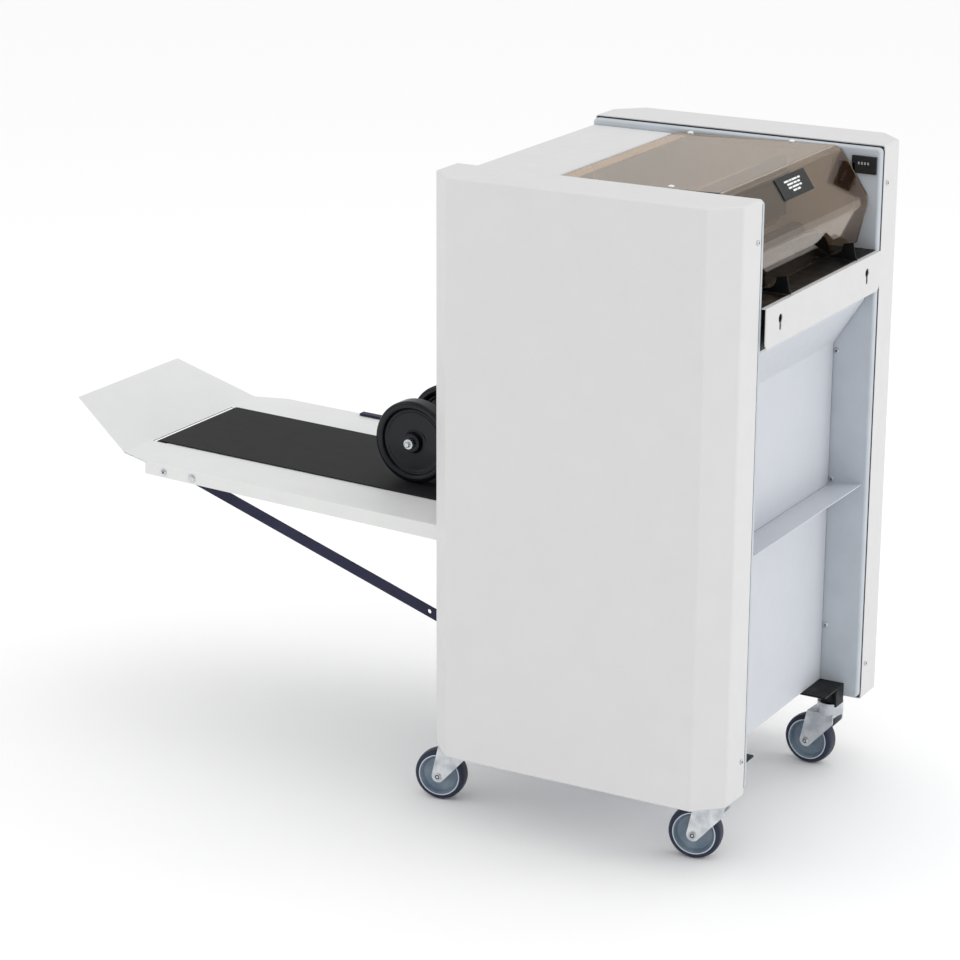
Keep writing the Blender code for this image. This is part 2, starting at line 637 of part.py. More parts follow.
def drive_motor():
    y_face = -FRAME_Y + CLEAR
    width, depth, height = GEARBOX
    x, z = KNIFE_X + GEARBOX_SHIFT, TABLE_Z - GEARBOX_DROP
    gearbox = box("drive_motor", (x - width / 2, y_face, z - height / 2),
                  (x + width / 2, y_face + depth, z + height / 2), MOTOR_GREY)
    can = rod("motor_can", MOTOR_R, MOTOR_LENGTH, sides=28, cutter=True,
              at=(x, y_face + depth + MOTOR_LENGTH / 2 - 0.005, z + 0.005))
    combine(gearbox, "UNION", can)


def waste_drawer():
    """A drawer for the trimmed strips, with its front outside the outfeed panel."""
    w, z0, z1 = DRAWER_HALF_WIDTH, BASE_Z + SHEET + CLEAR, DRAWER_TOP_Z
    front = PANEL_FACE_X - CLEAR * 2
    drawer = tray_box("waste_drawer", (front - 0.0010, -w, z0), (INFEED_PANEL_X - 0.010, w, z1),
                      lambda c: c.z > z1 - 1e-5, PANEL_PAINT)
    face = box("drawer_face", (front - 0.0020, -w - DRAWER_MARGIN, z0),
               (front, w + DRAWER_MARGIN, z1 + DRAWER_MARGIN), cutter=True)
    grip = box("drawer_grip", (front - 0.016, -0.045, z1 + DRAWER_MARGIN - 0.0025),
               (front - 0.0005, 0.045, z1 + DRAWER_MARGIN - 0.0005), cutter=True)
    combine(drawer, "UNION", face, grip)


def booklet_chute():
    """The slide that takes a trimmed booklet down to the belt."""
    foot, foot_z = TRAY_HINGE[0] + DRIVE_X + ROLLER_R, BED_Z
    path = [(KNIFE_X - 0.028, TABLE_Z - 0.002), (KNIFE_X - 0.055, TABLE_Z - 0.008),
            (KNIFE_X - 0.085, TABLE_Z - 0.038), (foot + 0.034, foot_z + 0.0462),
            (foot + 0.021, foot_z + 0.0202), (foot + 0.006, foot_z + 0.0037)]
    folded("booklet_chute", path, CROSS_HALF, BARE_STEEL)


# ---------------------------------------------------------------- hood
def hood_profile():
    """Middle of the hood's wall, from its hinge over the top and down the front."""
    z = TABLE_Z
    return [(HOOD_HINGE_X + 0.006, TOP_Z - 0.0095), (-0.0680, TOP_Z - 0.0040),
            (-0.0575, TOP_Z - 0.0085), (-0.0180, z + 0.0775), (-0.0165, z + 0.0650),
            (-0.0300, z + 0.0090)]


def hood():
    hinge = (HOOD_HINGE_X, HOOD_HINGE_Z)

    def local(points):
        return [(x - hinge[0], z - hinge[1]) for x, z in points]

    axis = empty("hood_axis", MACHINE, at=(hinge[0], 0, hinge[1]))
    shell = folded("hood", local(hood_profile()), HOOD_HALF_WIDTH, SMOKED, thickness=HOOD_WALL,
                   parent=axis)
    z, top = TABLE_Z, TOP_Z
    flange = local(hood_profile()
                   + [(-0.0365, z + 0.0090), (-0.0525, z + 0.0190), (-0.0365, z + 0.0500),
                      (-0.0365, z + 0.0700), (-0.0790, z + 0.0840), (-0.0690, top - 0.0160),
                      (HOOD_HINGE_X + 0.008, top - 0.0205)])
    for where, side in SIDES.items():
        wall = plate("hood_end_" + where, [flange], HOOD_WALL, cutter=True, parent=axis,
                     at=(0, side * (HOOD_HALF_WIDTH - HOOD_WALL / 2 - 0.0002), 0))
        combine(shell, "UNION", wall)
    hinge_leaf(axis)
    rod("hood_hinge_pin", HINGE_PIN_R, 2 * SHAFT_HALF, BARE_STEEL, sides=16,
        at=(hinge[0], 0, hinge[1]))


def hinge_leaf(axis):
    """A strip under the hood's edge, rolled round the hinge pin."""
    start, below = hood_profile()[0], HOOD_WALL / 2 + CLEAR
    top = start[1] - HOOD_HINGE_Z - below
    reach, rise = 0.0280, 0.0005
    outline = (arc((0, 0), HINGE_KNUCKLE_R, 95, 380, 16)
               + [(reach, top + rise - HINGE_LEAF), (reach, top + rise), (0.0060, top)])
    bore = circle(HINGE_PIN_R + CLEAR, sides=16)
    plate("hood_hinge_leaf", [outline, bore], 2 * (HOOD_HALF_WIDTH - 0.008), BARE_STEEL,
          parent=axis)


def counter_display():
    half_x, half_z = DISPLAY_SIZE[0] / 2, DISPLAY_SIZE[2] / 2
    x, z = DISPLAY_X, TOP_Z - DISPLAY_DROP
    top = FRAME_Y - CLEAR
    box("counter_display", (x - half_x, top - DISPLAY_SIZE[1], z - half_z),
        (x + half_x, top, z + half_z), TRIM_BLACK)


# ---------------------------------------------------------------- casters
def caster(end, where, side):
    tag = end + "_" + where
    stem = (CASTER_STEM_X[end], side * FRAME_Y)
    caster_bracket(tag, stem, end, side)
    swivel = empty("caster_swivel_" + tag, MACHINE, at=(*stem, 0),
                   turn=(0, 0, radians(CASTER_HEADING[where])))
    caster_fork(tag, swivel)
    centre = (-CASTER_TRAIL, 0, CASTER_R)
    caster_wheel(tag, swivel, centre)
    caster_axle(tag, swivel, centre)


def caster_bracket(tag, stem, end, side):
    """A plate under the base pan with the boss that the caster's fork turns on."""
    length, width = BRACKET_SIZE
    x0 = stem[0] - BRACKET_OUT[end]
    limit, top = FRAME_Y - CLEAR, BASE_Z - CLEAR
    y_low, y_high = span(side, limit - width, limit)
    bracket = box("caster_bracket_" + tag, (x0, y_low, top - BRACKET_THICK),
                  (x0 + length, y_high, top), BLACK_STEEL)
    low, high = FORK_TOP_Z + CLEAR, top - BRACKET_THICK / 2
    boss = rod("caster_boss_" + tag, BOSS_R, high - low, axis="Z", cutter=True,
               at=(*stem, (high + low) / 2))
    y_low, y_high = span(side, limit, limit + 0.05)
    relief = box("boss_relief_" + tag, (stem[0] - 0.05, y_low, UNDERSIDE_Z - CLEAR),
                 (stem[0] + 0.05, y_high, BASE_Z), cutter=True)
    y_low, y_high = span(side, limit - 0.026, limit)
    flange = box("bracket_flange_" + tag, (x0 + length - BRACKET_THICK, y_low, low + CLEAR),
                 (x0 + length, y_high, top), cutter=True)
    combine(bracket, "UNION", boss, flange)
    combine(bracket, "DIFFERENCE", relief)


def caster_fork(tag, swivel):
    crown_z = FORK_CROWN_Z
    front, rear = FORK_HEAD_R - 0.006, -CASTER_TRAIL - 0.0005
    outline = ([(front, crown_z + 0.006), (rear + 0.0015, crown_z + 0.006), (rear, crown_z)]
               + arc((-CASTER_TRAIL, CASTER_R), FORK_FOOT_R, 168, 312, 10)
               + [(front, crown_z - 0.0085)])
    fork = plate("caster_fork_" + tag, [outline], 2 * FORK_HALF_WIDTH, BARE_STEEL, parent=swivel)
    head = rod("fork_head_" + tag, FORK_HEAD_R, FORK_TOP_Z - crown_z - 0.004, axis="Z", sides=28,
               cutter=True, parent=swivel, at=(0, 0, (FORK_TOP_Z + crown_z + 0.004) / 2))
    inner = FORK_HALF_WIDTH - FORK_PLATE
    throat = box("fork_throat_" + tag, (-CASTER_TRAIL - CASTER_R, -inner, -0.010),
                 (0.060, inner, crown_z), cutter=True, parent=swivel)
    pin = rod("fork_pin_hole_" + tag, CASTER_PIN_R + CLEAR, 0.060, sides=16, cutter=True,
              parent=swivel, at=(-CASTER_TRAIL, 0, CASTER_R))
    combine(fork, "UNION", head)
    combine(fork, "DIFFERENCE", throat, pin)


def caster_wheel(tag, swivel, centre):
    r, half = CASTER_R, CASTER_WIDTH / 2
    bore, hub, rim = CASTER_PIN_R + CLEAR, 0.0095, CASTER_RIM_R
    profile = [(bore, half + 0.001), (hub, half + 0.001), (hub + 0.002, 0.004), (rim - 0.002, 0.004),
               (rim, half - 0.001), (r - 0.004, half), (r, half - 0.004), (r, -half + 0.004),
               (r - 0.004, -half), (rim, -half + 0.001), (rim - 0.002, -0.004), (hub + 0.002, -0.004),
               (hub, -half - 0.001), (bore, -half - 0.001)]
    turned("caster_wheel_" + tag, profile, CASTER_GREY, sides=32, parent=swivel, at=centre)


def caster_axle(tag, swivel, centre):
    r, head = CASTER_PIN_R, CASTER_BOLT_R
    leg = FORK_HALF_WIDTH + CLEAR
    profile = [(0, leg + 0.0030), (head - 0.002, leg + 0.0030), (head, leg + 0.001), (head, leg),
               (r, leg), (r, -leg), (head, -leg), (head, -leg - 0.001),
               (head - 0.002, -leg - 0.0030), (0, -leg - 0.0030)]
    turned("caster_axle_" + tag, profile, BARE_STEEL, sides=16, parent=swivel, at=centre)


# ---------------------------------------------------------------- stacker
STACKER = empty("stacker_bed", MACHINE, at=(TRAY_HINGE[0], 0, TRAY_HINGE[1]),
                turn=(0, TRAY_TILT, 0))


def stacker_tray():
    """Bed, two side rails, end plate and two tabs to the cabinet, all one bent sheet."""
    w, fold, rail = TRAY_HALF_WIDTH, TRAY_FOLD_HALF, TRAY_RAIL_END
    tab_in, tab_out = TRAY_TAB
    start = -0.0040
    bm = bmesh.new()
    corners = [(start, -w), (-rail, -w), (-TRAY_FOLD, -fold), (-TRAY_FOLD, fold), (-rail, w),
               (start, w), (start, tab_out), (start, tab_in), (start, -tab_in), (start, -tab_out)]
    points = [bm.verts.new((x, y, 0)) for x, y in corners]
    bed = bm.faces.new(reversed(points))
    bend(bm, points[2], points[3], end_plate_corner)
    for a, b in ((0, 1), (4, 5)):
        bend(bm, points[a], points[b], rail_corner)
    for a, b in ((6, 7), (8, 9)):
        root = bend(bm, points[a], points[b], tab_root)
        bend(bm, *root, tab_foot)
    bmesh.ops.recalc_face_normals(bm, faces=bm.faces)
    if bed.normal.z < 0:
        bmesh.ops.reverse_faces(bm, faces=bm.faces)
    tray = finish("stacker_tray", mesh_of("stacker_tray", bm), TRAY_SHEET, parent=STACKER)
    wall = thicken(tray, SHEET, -1.0)
    wall.solidify_mode = "NON_MANIFOLD"
    wall.nonmanifold_thickness_mode = "CONSTRAINTS"
    slot_half = BELT_HALF_WIDTH + 0.002
    slot = box("idler_slot", (IDLER_X - ROLLER_R - BELT_THICK - 0.002, -slot_half, -0.010),
               (IDLER_X + 0.012, slot_half, 0.010), cutter=True, parent=STACKER)
    combine(tray, "DIFFERENCE", slot)
    idler_ears(tray)
    for where, side in SIDES.items():
        hole = rod("strut_bolt_hole_" + where, STRUT_PIN_R + CLEAR, 0.030, sides=16, cutter=True,
                   at=(STRUT_TOP[0], side * w, STRUT_TOP[1]))
        combine(tray, "DIFFERENCE", hole)


def idler_ears(tray):
    """Two ears under the bed that hold the idler roller's shaft."""
    foot = -ROLLER_DROP - ROLLER_SHAFT_R - 0.0045
    for where, side in SIDES.items():
        y_low, y_high = span(side, BELT_HALF_WIDTH + 0.0045, BELT_HALF_WIDTH + 0.0075)
        ear = box("idler_ear_" + where, (IDLER_X - 0.009, y_low, foot),
                  (IDLER_X + 0.018, y_high, -SHEET / 2), cutter=True, parent=STACKER)
        combine(tray, "UNION", ear)
    hole = rod("idler_shaft_hole", ROLLER_SHAFT_R + CLEAR, 2 * BELT_HALF_WIDTH + 0.04, sides=16,
               cutter=True, parent=STACKER, at=(IDLER_X, 0, -ROLLER_DROP))
    combine(tray, "DIFFERENCE", hole)


def bend(bm, first, second, place):
    """Grow a flap from the edge between two corners, and put its new corners in place."""
    grown = bmesh.ops.extrude_edge_only(bm, edges=[bm.edges.get((first, second))])["geom"]
    corners = [v for v in grown if isinstance(v, bmesh.types.BMVert)]
    for corner in corners:
        corner.co = place(corner.co.copy())
    return corners


def end_plate_corner(co):
    turn = radians(END_PLATE_TURN)
    side = 1 if co.y > 0 else -1
    return Vector((-TRAY_FOLD - END_PLATE_LENGTH * cos(turn), side * END_PLATE_HALF,
                   END_PLATE_LENGTH * sin(turn)))


def rail_corner(co):
    depth = TRAY_RAIL_TIP if co.x < -TRAY_RAIL_END / 2 else TRAY_RAIL_ROOT
    return Vector((co.x, co.y, -depth))


def tab_root(co):
    reach = (TRAY_HINGE[0] - PANEL_FACE_X + CLEAR) / cos(TRAY_TILT)
    return Vector((-reach, co.y, 0))


def tab_foot(co):
    return Vector((co.x + TRAY_TAB_DROP * sin(TRAY_TILT), co.y, -TRAY_TAB_DROP * cos(TRAY_TILT)))


def stacker_belt():
    """An endless belt: its upper run lies on the bed and its lower run under it."""
    inner, outer = ROLLER_R + CLEAR, ROLLER_R + CLEAR + BELT_THICK

    def loop(radius):
        return (arc((DRIVE_X, -ROLLER_DROP), radius, -90, 90, 10)
                + arc((IDLER_X, -ROLLER_DROP), radius, 90, 270, 10))

    plate("stacker_belt", [loop(outer), loop(inner)], 2 * BELT_HALF_WIDTH, BELT_RUBBER,
          parent=STACKER)


def stacker_rollers():
    roller_with_shaft("drive_roller", ROLLER_R, BELT_HALF_WIDTH + 0.001, SHAFT_HALF, BARE_STEEL,
                      parent=STACKER, at=(DRIVE_X, 0, -ROLLER_DROP))
    roller_with_shaft("idler_roller", ROLLER_R, BELT_HALF_WIDTH + 0.001, BELT_HALF_WIDTH + 0.014,
                      BARE_STEEL, parent=STACKER, at=(IDLER_X, 0, -ROLLER_DROP))


def tray_edge_strip():
    y_high = TRAY_HALF_WIDTH - 0.001
    box("tray_edge_strip", (-0.392, y_high - 0.012, CLEAR), (-0.006, y_high, 0.0043), NAVY_STEEL,
        parent=STACKER)


def strut(where, side):
    """A flat bar brace with an eye at each end and a spare hole near its foot."""
    (x0, z0), (x1, z1) = STRUT_FOOT, STRUT_TOP
    length, tilt = hypot(x1 - x0, z1 - z0), atan2(z1 - z0, x1 - x0)
    r = STRUT_WIDTH / 2
    outline = arc((0, 0), r, 90, 270, 8) + arc((length, 0), r, -90, 90, 8)
    holes = [circle(STRUT_PIN_R + CLEAR, (d, 0), 16) for d in (0, STRUT_SPARE_HOLE, length)]
    y = side * (TRAY_HALF_WIDTH - SHEET - CLEAR * 2 - PLATE / 2)
    plate("tray_strut_" + where, [outline] + holes, PLATE, NAVY_STEEL, at=(x0, y, z0),
          turn=(0, -tilt, 0))
    strut_bolt(where, side, y)
    strut_anchor(where, side, y)


def strut_bolt(where, side, strut_y):
    """A domed bolt through the tray's rail and the strut's upper eye."""
    head_y = TRAY_HALF_WIDTH + CLEAR
    end_y = abs(strut_y) - PLATE / 2 - 0.002
    r, head = STRUT_PIN_R, 0.0060
    profile = [(0, head_y + 0.003), (head - 0.0025, head_y + 0.003), (head, head_y + 0.001),
               (head, head_y), (r, head_y), (r, end_y), (0, end_y)]
    bolt = turned("strut_bolt_" + where, profile, BARE_STEEL, sides=16,
                  at=(STRUT_TOP[0], 0, STRUT_TOP[1]))
    if side < 0:
        bolt.rotation_euler = (0, 0, pi)


def strut_anchor(where, side, strut_y):
    """A bracket on the outfeed panel with a stud through the strut's lower eye."""
    ear = side * (abs(strut_y) - PLATE / 2 - CLEAR - PLATE / 2)
    face = PANEL_FACE_X - CLEAR
    x, z = STRUT_FOOT
    outline = [(face, z - 0.020), (face, z + 0.020)] + arc((x, z), 0.009, 70, 290, 10)
    anchor = plate("strut_anchor_" + where, [outline], PLATE, NAVY_STEEL, at=(0, ear, 0))
    foot = box("anchor_foot_" + where, (face - PLATE, min(ear, ear - side * 0.022), z - 0.020),
               (face, max(ear, ear - side * 0.022), z + 0.020), cutter=True)
    stud_half = (PLATE * 2 + CLEAR + 0.0015) / 2
    stud = rod("anchor_stud_" + where, STRUT_PIN_R, 2 * stud_half, sides=16, cutter=True,
               at=(x, ear + side * (stud_half - PLATE / 4), z))
    combine(anchor, "UNION", foot, stud)


# ---------------------------------------------------------------- press wheels
PRESS_AXLE_Z = bed_height(PRESS_AXLE_X) + (BELT_GAP + BELT_THICK + CLEAR + PRESS_WHEEL_R) / cos(TRAY_TILT)
PRESS_REACH = hypot(PRESS_AXLE_X - PRESS_PIVOT[0], PRESS_AXLE_Z - PRESS_PIVOT[1])
PRESS_TILT = atan2(PRESS_PIVOT[1] - PRESS_AXLE_Z, PRESS_PIVOT[0] - PRESS_AXLE_X)
PRESS_ARM = empty("press_arm_axis", MACHINE, at=(PRESS_PIVOT[0], 0, PRESS_PIVOT[1]),
                  turn=(0, -PRESS_TILT, 0))


def press_arm():
    """Two flat bars joined by a short web, that carry the press wheels' axle."""
    w, t, reach, up = PRESS_ARM_HALF, PLATE, PRESS_REACH, PRESS_ARM_HEIGHT / 2
    arm = box("press_arm", (-reach - 0.009, -w, -up), (0.009, w, up), NAVY_STEEL, parent=PRESS_ARM)
    front = box("press_arm_front", (-0.055, t - w, -0.02), (0.02, w - t, 0.02), cutter=True,
                parent=PRESS_ARM)
    rear = box("press_arm_rear", (-reach - 0.02, t - w, -0.02), (-0.058, w - t, 0.02), cutter=True,
               parent=PRESS_ARM)
    pivot = rod("press_pivot_hole", PRESS_PIVOT_R + CLEAR, 0.120, sides=20, cutter=True,
                parent=PRESS_ARM)
    eye = rod("press_axle_hole", PRESS_AXLE_R + CLEAR, 0.120, sides=16, cutter=True,
              parent=PRESS_ARM, at=(-reach, 0, 0))
    combine(arm, "DIFFERENCE", front, rear, pivot, eye)


def press_axle():
    half, r = PRESS_AXLE_HALF, PRESS_AXLE_R
    collar = PRESS_WHEEL_Y + PRESS_WHEEL_WIDTH / 2 + 0.004
    profile = [(0, half), (r - 0.001, half), (r, half - 0.001), (r, collar + 0.006),
               (0.0075, collar + 0.006), (0.0075, collar), (r, collar), (r, -collar),
               (0.0075, -collar), (0.0075, -collar - 0.006), (r, -collar - 0.006),
               (r, -half + 0.001), (r - 0.001, -half), (0, -half)]
    turned("press_axle", profile, BARE_STEEL, sides=16, parent=PRESS_ARM, at=(-PRESS_REACH, 0, 0))


def press_wheel(where, side):
    """A dished wheel with a deep rim, a thin web and a hub longer than the rim."""
    r, half, bore = PRESS_WHEEL_R, PRESS_WHEEL_WIDTH / 2, PRESS_AXLE_R + CLEAR
    hub, rim, web = 0.014, 0.0520, 0.002
    hub_half = half + 0.003
    profile = [(bore, hub_half), (hub, hub_half), (hub + 0.001, web), (rim - 0.003, web),
               (rim, half - 0.001), (rim + 0.002, half), (r - 0.003, half), (r, half - 0.003),
               (r, 0.003 - half), (r - 0.003, -half), (rim + 0.002, -half), (rim, 0.001 - half),
               (rim - 0.003, -web), (hub + 0.001, -web), (hub, -hub_half), (bore, -hub_half)]
    turned("press_wheel_" + where, profile, WHEEL_BLACK, sides=48, parent=PRESS_ARM,
           at=(-PRESS_REACH, side * PRESS_WHEEL_Y, 0))


def press_bracket():
    """A channel on the outfeed panel whose ears hold the press arm's pivot pin."""
    face = PANEL_FACE_X - CLEAR
    ear_in, ear_out = PRESS_ARM_HALF + 0.0010, PRESS_ARM_HALF + 0.0010 + PLATE
    tip = PRESS_PIVOT[0] - 0.010
    low, high = PRESS_PIVOT[1] - 0.010, OUTLET_Z[1] + 0.045
    outline = [(face, -ear_out), (face, ear_out), (tip, ear_out), (tip, ear_in),
               (face - PLATE, ear_in), (face - PLATE, -ear_in), (tip, -ear_in), (tip, -ear_out)]
    bracket = plate("press_bracket", [outline], high - low, NAVY_STEEL, plane="XY",
                    at=(0, 0, (high + low) / 2))
    pin = rod("press_pivot_pin", PRESS_PIVOT_R, 2 * (ear_out + 0.002), sides=20, cutter=True,
              at=(PRESS_PIVOT[0], 0, PRESS_PIVOT[1]))
    relief = box("bracket_relief", (face - PLATE - 0.001, -ear_in + 0.003, low - 0.001),
                 (face + 0.001, ear_in - 0.003, OUTLET_Z[1] + 0.004), cutter=True)
    combine(bracket, "DIFFERENCE", relief)
    combine(bracket, "UNION", pin)


# ---------------------------------------------------------------- build
for where, side in SIDES.items():
    side_cover(where, side)
    side_frame(where, side)
    side_guide(where, side)
    strut(where, side)
    press_wheel(where, side)
    for end in ENDS:
        caster(end, where, side)
deck_cover()
outfeed_panel()
power_inlet()
power_rocker()
base_pan()
infeed_panel()
cross_brace()
docking_plate()
infeed_table()
guide_pinion()
infeed_rollers()
lower_blade()
knife_beam()
blade_shaft()
drive_motor()
waste_drawer()
booklet_chute()
hood()
counter_display()
stacker_tray()
stacker_belt()
stacker_rollers()
tray_edge_strip()
press_arm()
press_axle()
press_bracket()
bpy.context.view_layer.update()
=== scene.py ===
# %% [markdown]
# # A floor-standing booklet trimmer
#
# The machine is a cabinet on four casters. Booklets go in under a smoked hood, are trimmed, and
# ride out on a belt stacker. The solids that carry size and motion are loaded first, and every
# visible piece is then built around them or given its finish. All numbers are in metres.

import json
from math import atan2, cos, degrees, pi, radians, sin

import bmesh
import bpy
from mathutils import Matrix, Vector


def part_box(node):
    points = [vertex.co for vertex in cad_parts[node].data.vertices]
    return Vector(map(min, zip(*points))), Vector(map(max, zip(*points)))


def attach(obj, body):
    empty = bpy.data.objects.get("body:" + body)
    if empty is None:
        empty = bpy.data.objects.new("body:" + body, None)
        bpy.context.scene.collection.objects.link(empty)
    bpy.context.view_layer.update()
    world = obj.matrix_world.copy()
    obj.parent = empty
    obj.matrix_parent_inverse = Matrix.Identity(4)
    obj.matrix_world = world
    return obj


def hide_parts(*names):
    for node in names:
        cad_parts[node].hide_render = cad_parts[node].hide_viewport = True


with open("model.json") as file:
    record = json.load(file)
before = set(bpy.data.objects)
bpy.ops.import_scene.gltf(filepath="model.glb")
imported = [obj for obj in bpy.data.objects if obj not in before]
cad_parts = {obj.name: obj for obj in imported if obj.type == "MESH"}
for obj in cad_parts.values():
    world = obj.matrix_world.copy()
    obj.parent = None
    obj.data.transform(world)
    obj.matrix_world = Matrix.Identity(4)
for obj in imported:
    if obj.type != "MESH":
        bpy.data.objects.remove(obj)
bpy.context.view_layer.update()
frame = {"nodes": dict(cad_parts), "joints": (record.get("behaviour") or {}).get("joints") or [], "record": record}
infeed_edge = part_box("side_cover_near")[1].x
bodies_of = {node: body for body, nodes in frame["record"]["behaviour"]["bodies"].items()
             for node in nodes}

# %% [markdown]
# ## Camera
#
# A long lens from the near right, a little above the machine, keeps its uprights nearly
# parallel. The camera is placed by where it looks, from what bearing and from how far.

# %% Camera
def place_camera():
    aim = Vector((infeed_edge - 0.426, -0.172, 0.476))
    bearing, height, roll, distance = radians(29.59), radians(17.52), radians(0.24), 4.188
    away = Vector((sin(bearing) * cos(height), -cos(bearing) * cos(height), sin(height)))
    lens = bpy.data.cameras.new("long_lens")
    lens.lens = 113.6
    lens.clip_start, lens.clip_end = 0.1, 60
    camera = bpy.data.objects.new("camera", lens)
    turn = (-away).to_track_quat("-Z", "Y") @ Matrix.Rotation(roll, 3, "Z").to_quaternion()
    camera.matrix_world = Matrix.LocRotScale(aim + away * distance, turn, None)
    bpy.context.scene.collection.objects.link(camera)
    bpy.context.scene.camera = camera
    print("camera at", [round(c, 3) for c in camera.location])

place_camera()

# %% [markdown]
# ## Floor and light
#
# White goods look best in a light tent: an even white surround, and large soft lamps that only
# nudge one face above another. The surround is dimmer where it is mirrored, so that gloss does
# not wash out the blacks, but not where it is seen through the clear hood. The tone curve is
# left straight, so white stays white.

# %% Floor and lamps
def white_surround(strength, reflected):
    world = bpy.data.worlds.new("light_tent")
    world.use_nodes = True
    tree = world.node_tree
    rays = tree.nodes.new("ShaderNodeLightPath")
    mirrored = tree.nodes.new("ShaderNodeMath")
    mirrored.operation, mirrored.use_clamp = "SUBTRACT", True
    tree.links.new(rays.outputs["Is Glossy Ray"], mirrored.inputs[0])
    tree.links.new(rays.outputs["Is Transmission Ray"], mirrored.inputs[1])
    level = tree.nodes.new("ShaderNodeMapRange")
    level.inputs["To Min"].default_value = strength
    level.inputs["To Max"].default_value = reflected
    tree.links.new(mirrored.outputs["Value"], level.inputs["Value"])
    tree.links.new(level.outputs["Result"], tree.nodes["Background"].inputs["Strength"])
    tree.nodes["Background"].inputs["Color"].default_value = (1.0, 1.0, 1.0, 1.0)
    bpy.context.scene.world = world
    bpy.context.scene.view_settings.view_transform = "Standard"

LAMP_AIM = Vector((0, 0, 0.5))

def soft_lamp(name, place, size, watts):
    light = bpy.data.lights.new(name, "AREA")
    light.shape, light.size, light.energy = "DISK", size, watts
    lamp = bpy.data.objects.new(name, light)
    turn = (LAMP_AIM - Vector(place)).to_track_quat("-Z", "Y")
    lamp.matrix_world = Matrix.LocRotScale(Vector(place), turn, None)
    bpy.context.scene.collection.objects.link(lamp)

def pale_floor():
    bm = bmesh.new()
    bmesh.ops.create_grid(bm, x_segments=1, y_segments=1, size=9)
    mesh = bpy.data.meshes.new("floor")
    bm.to_mesh(mesh)
    bm.free()
    floor = bpy.data.objects.new("floor", mesh)
    paint = bpy.data.materials.new("floor_white")
    paint.use_nodes = True
    shader = paint.node_tree.nodes["Principled BSDF"]
    shader.inputs["Base Color"].default_value = (0.98, 0.98, 0.98, 1)
    shader.inputs["Roughness"].default_value = 0.9
    mesh.materials.append(paint)
    bpy.context.scene.collection.objects.link(floor)

white_surround(1.0, 0.62)
soft_lamp("left_lamp", (-3.0, -2.2, 2.6), 2.2, 6)
soft_lamp("right_lamp", (3.4, 1.0, 1.8), 1.8, 16)
soft_lamp("top_lamp", (0.3, 0.5, 3.6), 2.4, 10)
pale_floor()
print("lamps:", [light.name for light in bpy.data.lights])

# %% [markdown]
# ## Finishes
#
# A powder coat is never one flat colour: the cured paint has a fine orange-peel skin, and its
# shine drifts a little. Each finish below starts from a plain shader, and small helpers add
# a grain (bump), a mottle (colour drift) and a sheen drift (roughness), all read from Object
# coordinates so that the pattern keeps its true size on every piece.

# %% Helpers for finishes
def plain(name, colour, roughness, metallic=0.0):
    material = bpy.data.materials.new(name)
    material.use_nodes = True
    shader = material.node_tree.nodes["Principled BSDF"]
    shader.inputs["Base Color"].default_value = (*colour, 1.0)
    shader.inputs["Roughness"].default_value = roughness
    shader.inputs["Metallic"].default_value = metallic
    material.diffuse_color = (*colour, 1.0)
    return material

def noise(material, scale, detail=2.0, stretch=(1, 1, 1)):
    tree = material.node_tree
    place = tree.nodes.new("ShaderNodeTexCoord")
    stretched = tree.nodes.new("ShaderNodeMapping")
    stretched.inputs["Scale"].default_value = stretch
    cloud = tree.nodes.new("ShaderNodeTexNoise")
    cloud.inputs["Scale"].default_value = scale
    cloud.inputs["Detail"].default_value = detail
    tree.links.new(place.outputs["Object"], stretched.inputs["Vector"])
    tree.links.new(stretched.outputs["Vector"], cloud.inputs["Vector"])
    return cloud.outputs["Fac"]

def grain(material, scale, height, strength=0.5, detail=2.0, stretch=(1, 1, 1)):
    tree = material.node_tree
    bump = tree.nodes.new("ShaderNodeBump")
    bump.inputs["Strength"].default_value = strength
    bump.inputs["Distance"].default_value = height
    tree.links.new(noise(material, scale, detail, stretch), bump.inputs["Height"])
    shader = tree.nodes["Principled BSDF"]
    tree.links.new(bump.outputs["Normal"], shader.inputs["Normal"])
    return material

def mottle(material, scale, dark, light, detail=3.0, stretch=(1, 1, 1)):
    tree = material.node_tree
    ramp = tree.nodes.new("ShaderNodeValToRGB")
    ramp.color_ramp.elements[0].position = 0.35
    ramp.color_ramp.elements[0].color = (*dark, 1.0)
    ramp.color_ramp.elements[1].position = 0.65
    ramp.color_ramp.elements[1].color = (*light, 1.0)
    tree.links.new(noise(material, scale, detail, stretch), ramp.inputs["Fac"])
    tree.links.new(ramp.outputs["Color"], tree.nodes["Principled BSDF"].inputs["Base Color"])

def sheen_drift(material, scale, low, high):
    tree = material.node_tree
    spread = tree.nodes.new("ShaderNodeMapRange")
    spread.inputs["From Min"].default_value = 0.3
    spread.inputs["From Max"].default_value = 0.7
    spread.inputs["To Min"].default_value = low
    spread.inputs["To Max"].default_value = high
    tree.links.new(noise(material, scale, 3.0), spread.inputs["Value"])
    tree.links.new(spread.outputs["Result"], tree.nodes["Principled BSDF"].inputs["Roughness"])

# %% [markdown]
# Most of the machine is folded steel under powder coat. One function makes every coat, because
# the real ones differ only in colour, in shine and in how coarse the orange peel is. The tint
# wanders by a percent or so, which is enough to keep a wide panel from looking printed.

# %% Powder coats
def powder_coat(name, colour, spread=0.02, roughness=0.45, peel=0.00012, shine=0.45):
    light = tuple(min(1.0, c * (1 + spread)) for c in colour)
    dark = tuple(c * (1 - spread) for c in colour)
    material = plain(name, colour, roughness)
    mottle(material, 22, dark, light)
    sheen_drift(material, 60, roughness - 0.06, roughness + 0.08)
    material.node_tree.nodes["Principled BSDF"].inputs["Specular IOR Level"].default_value = shine
    return grain(material, 850, peel, 0.6)

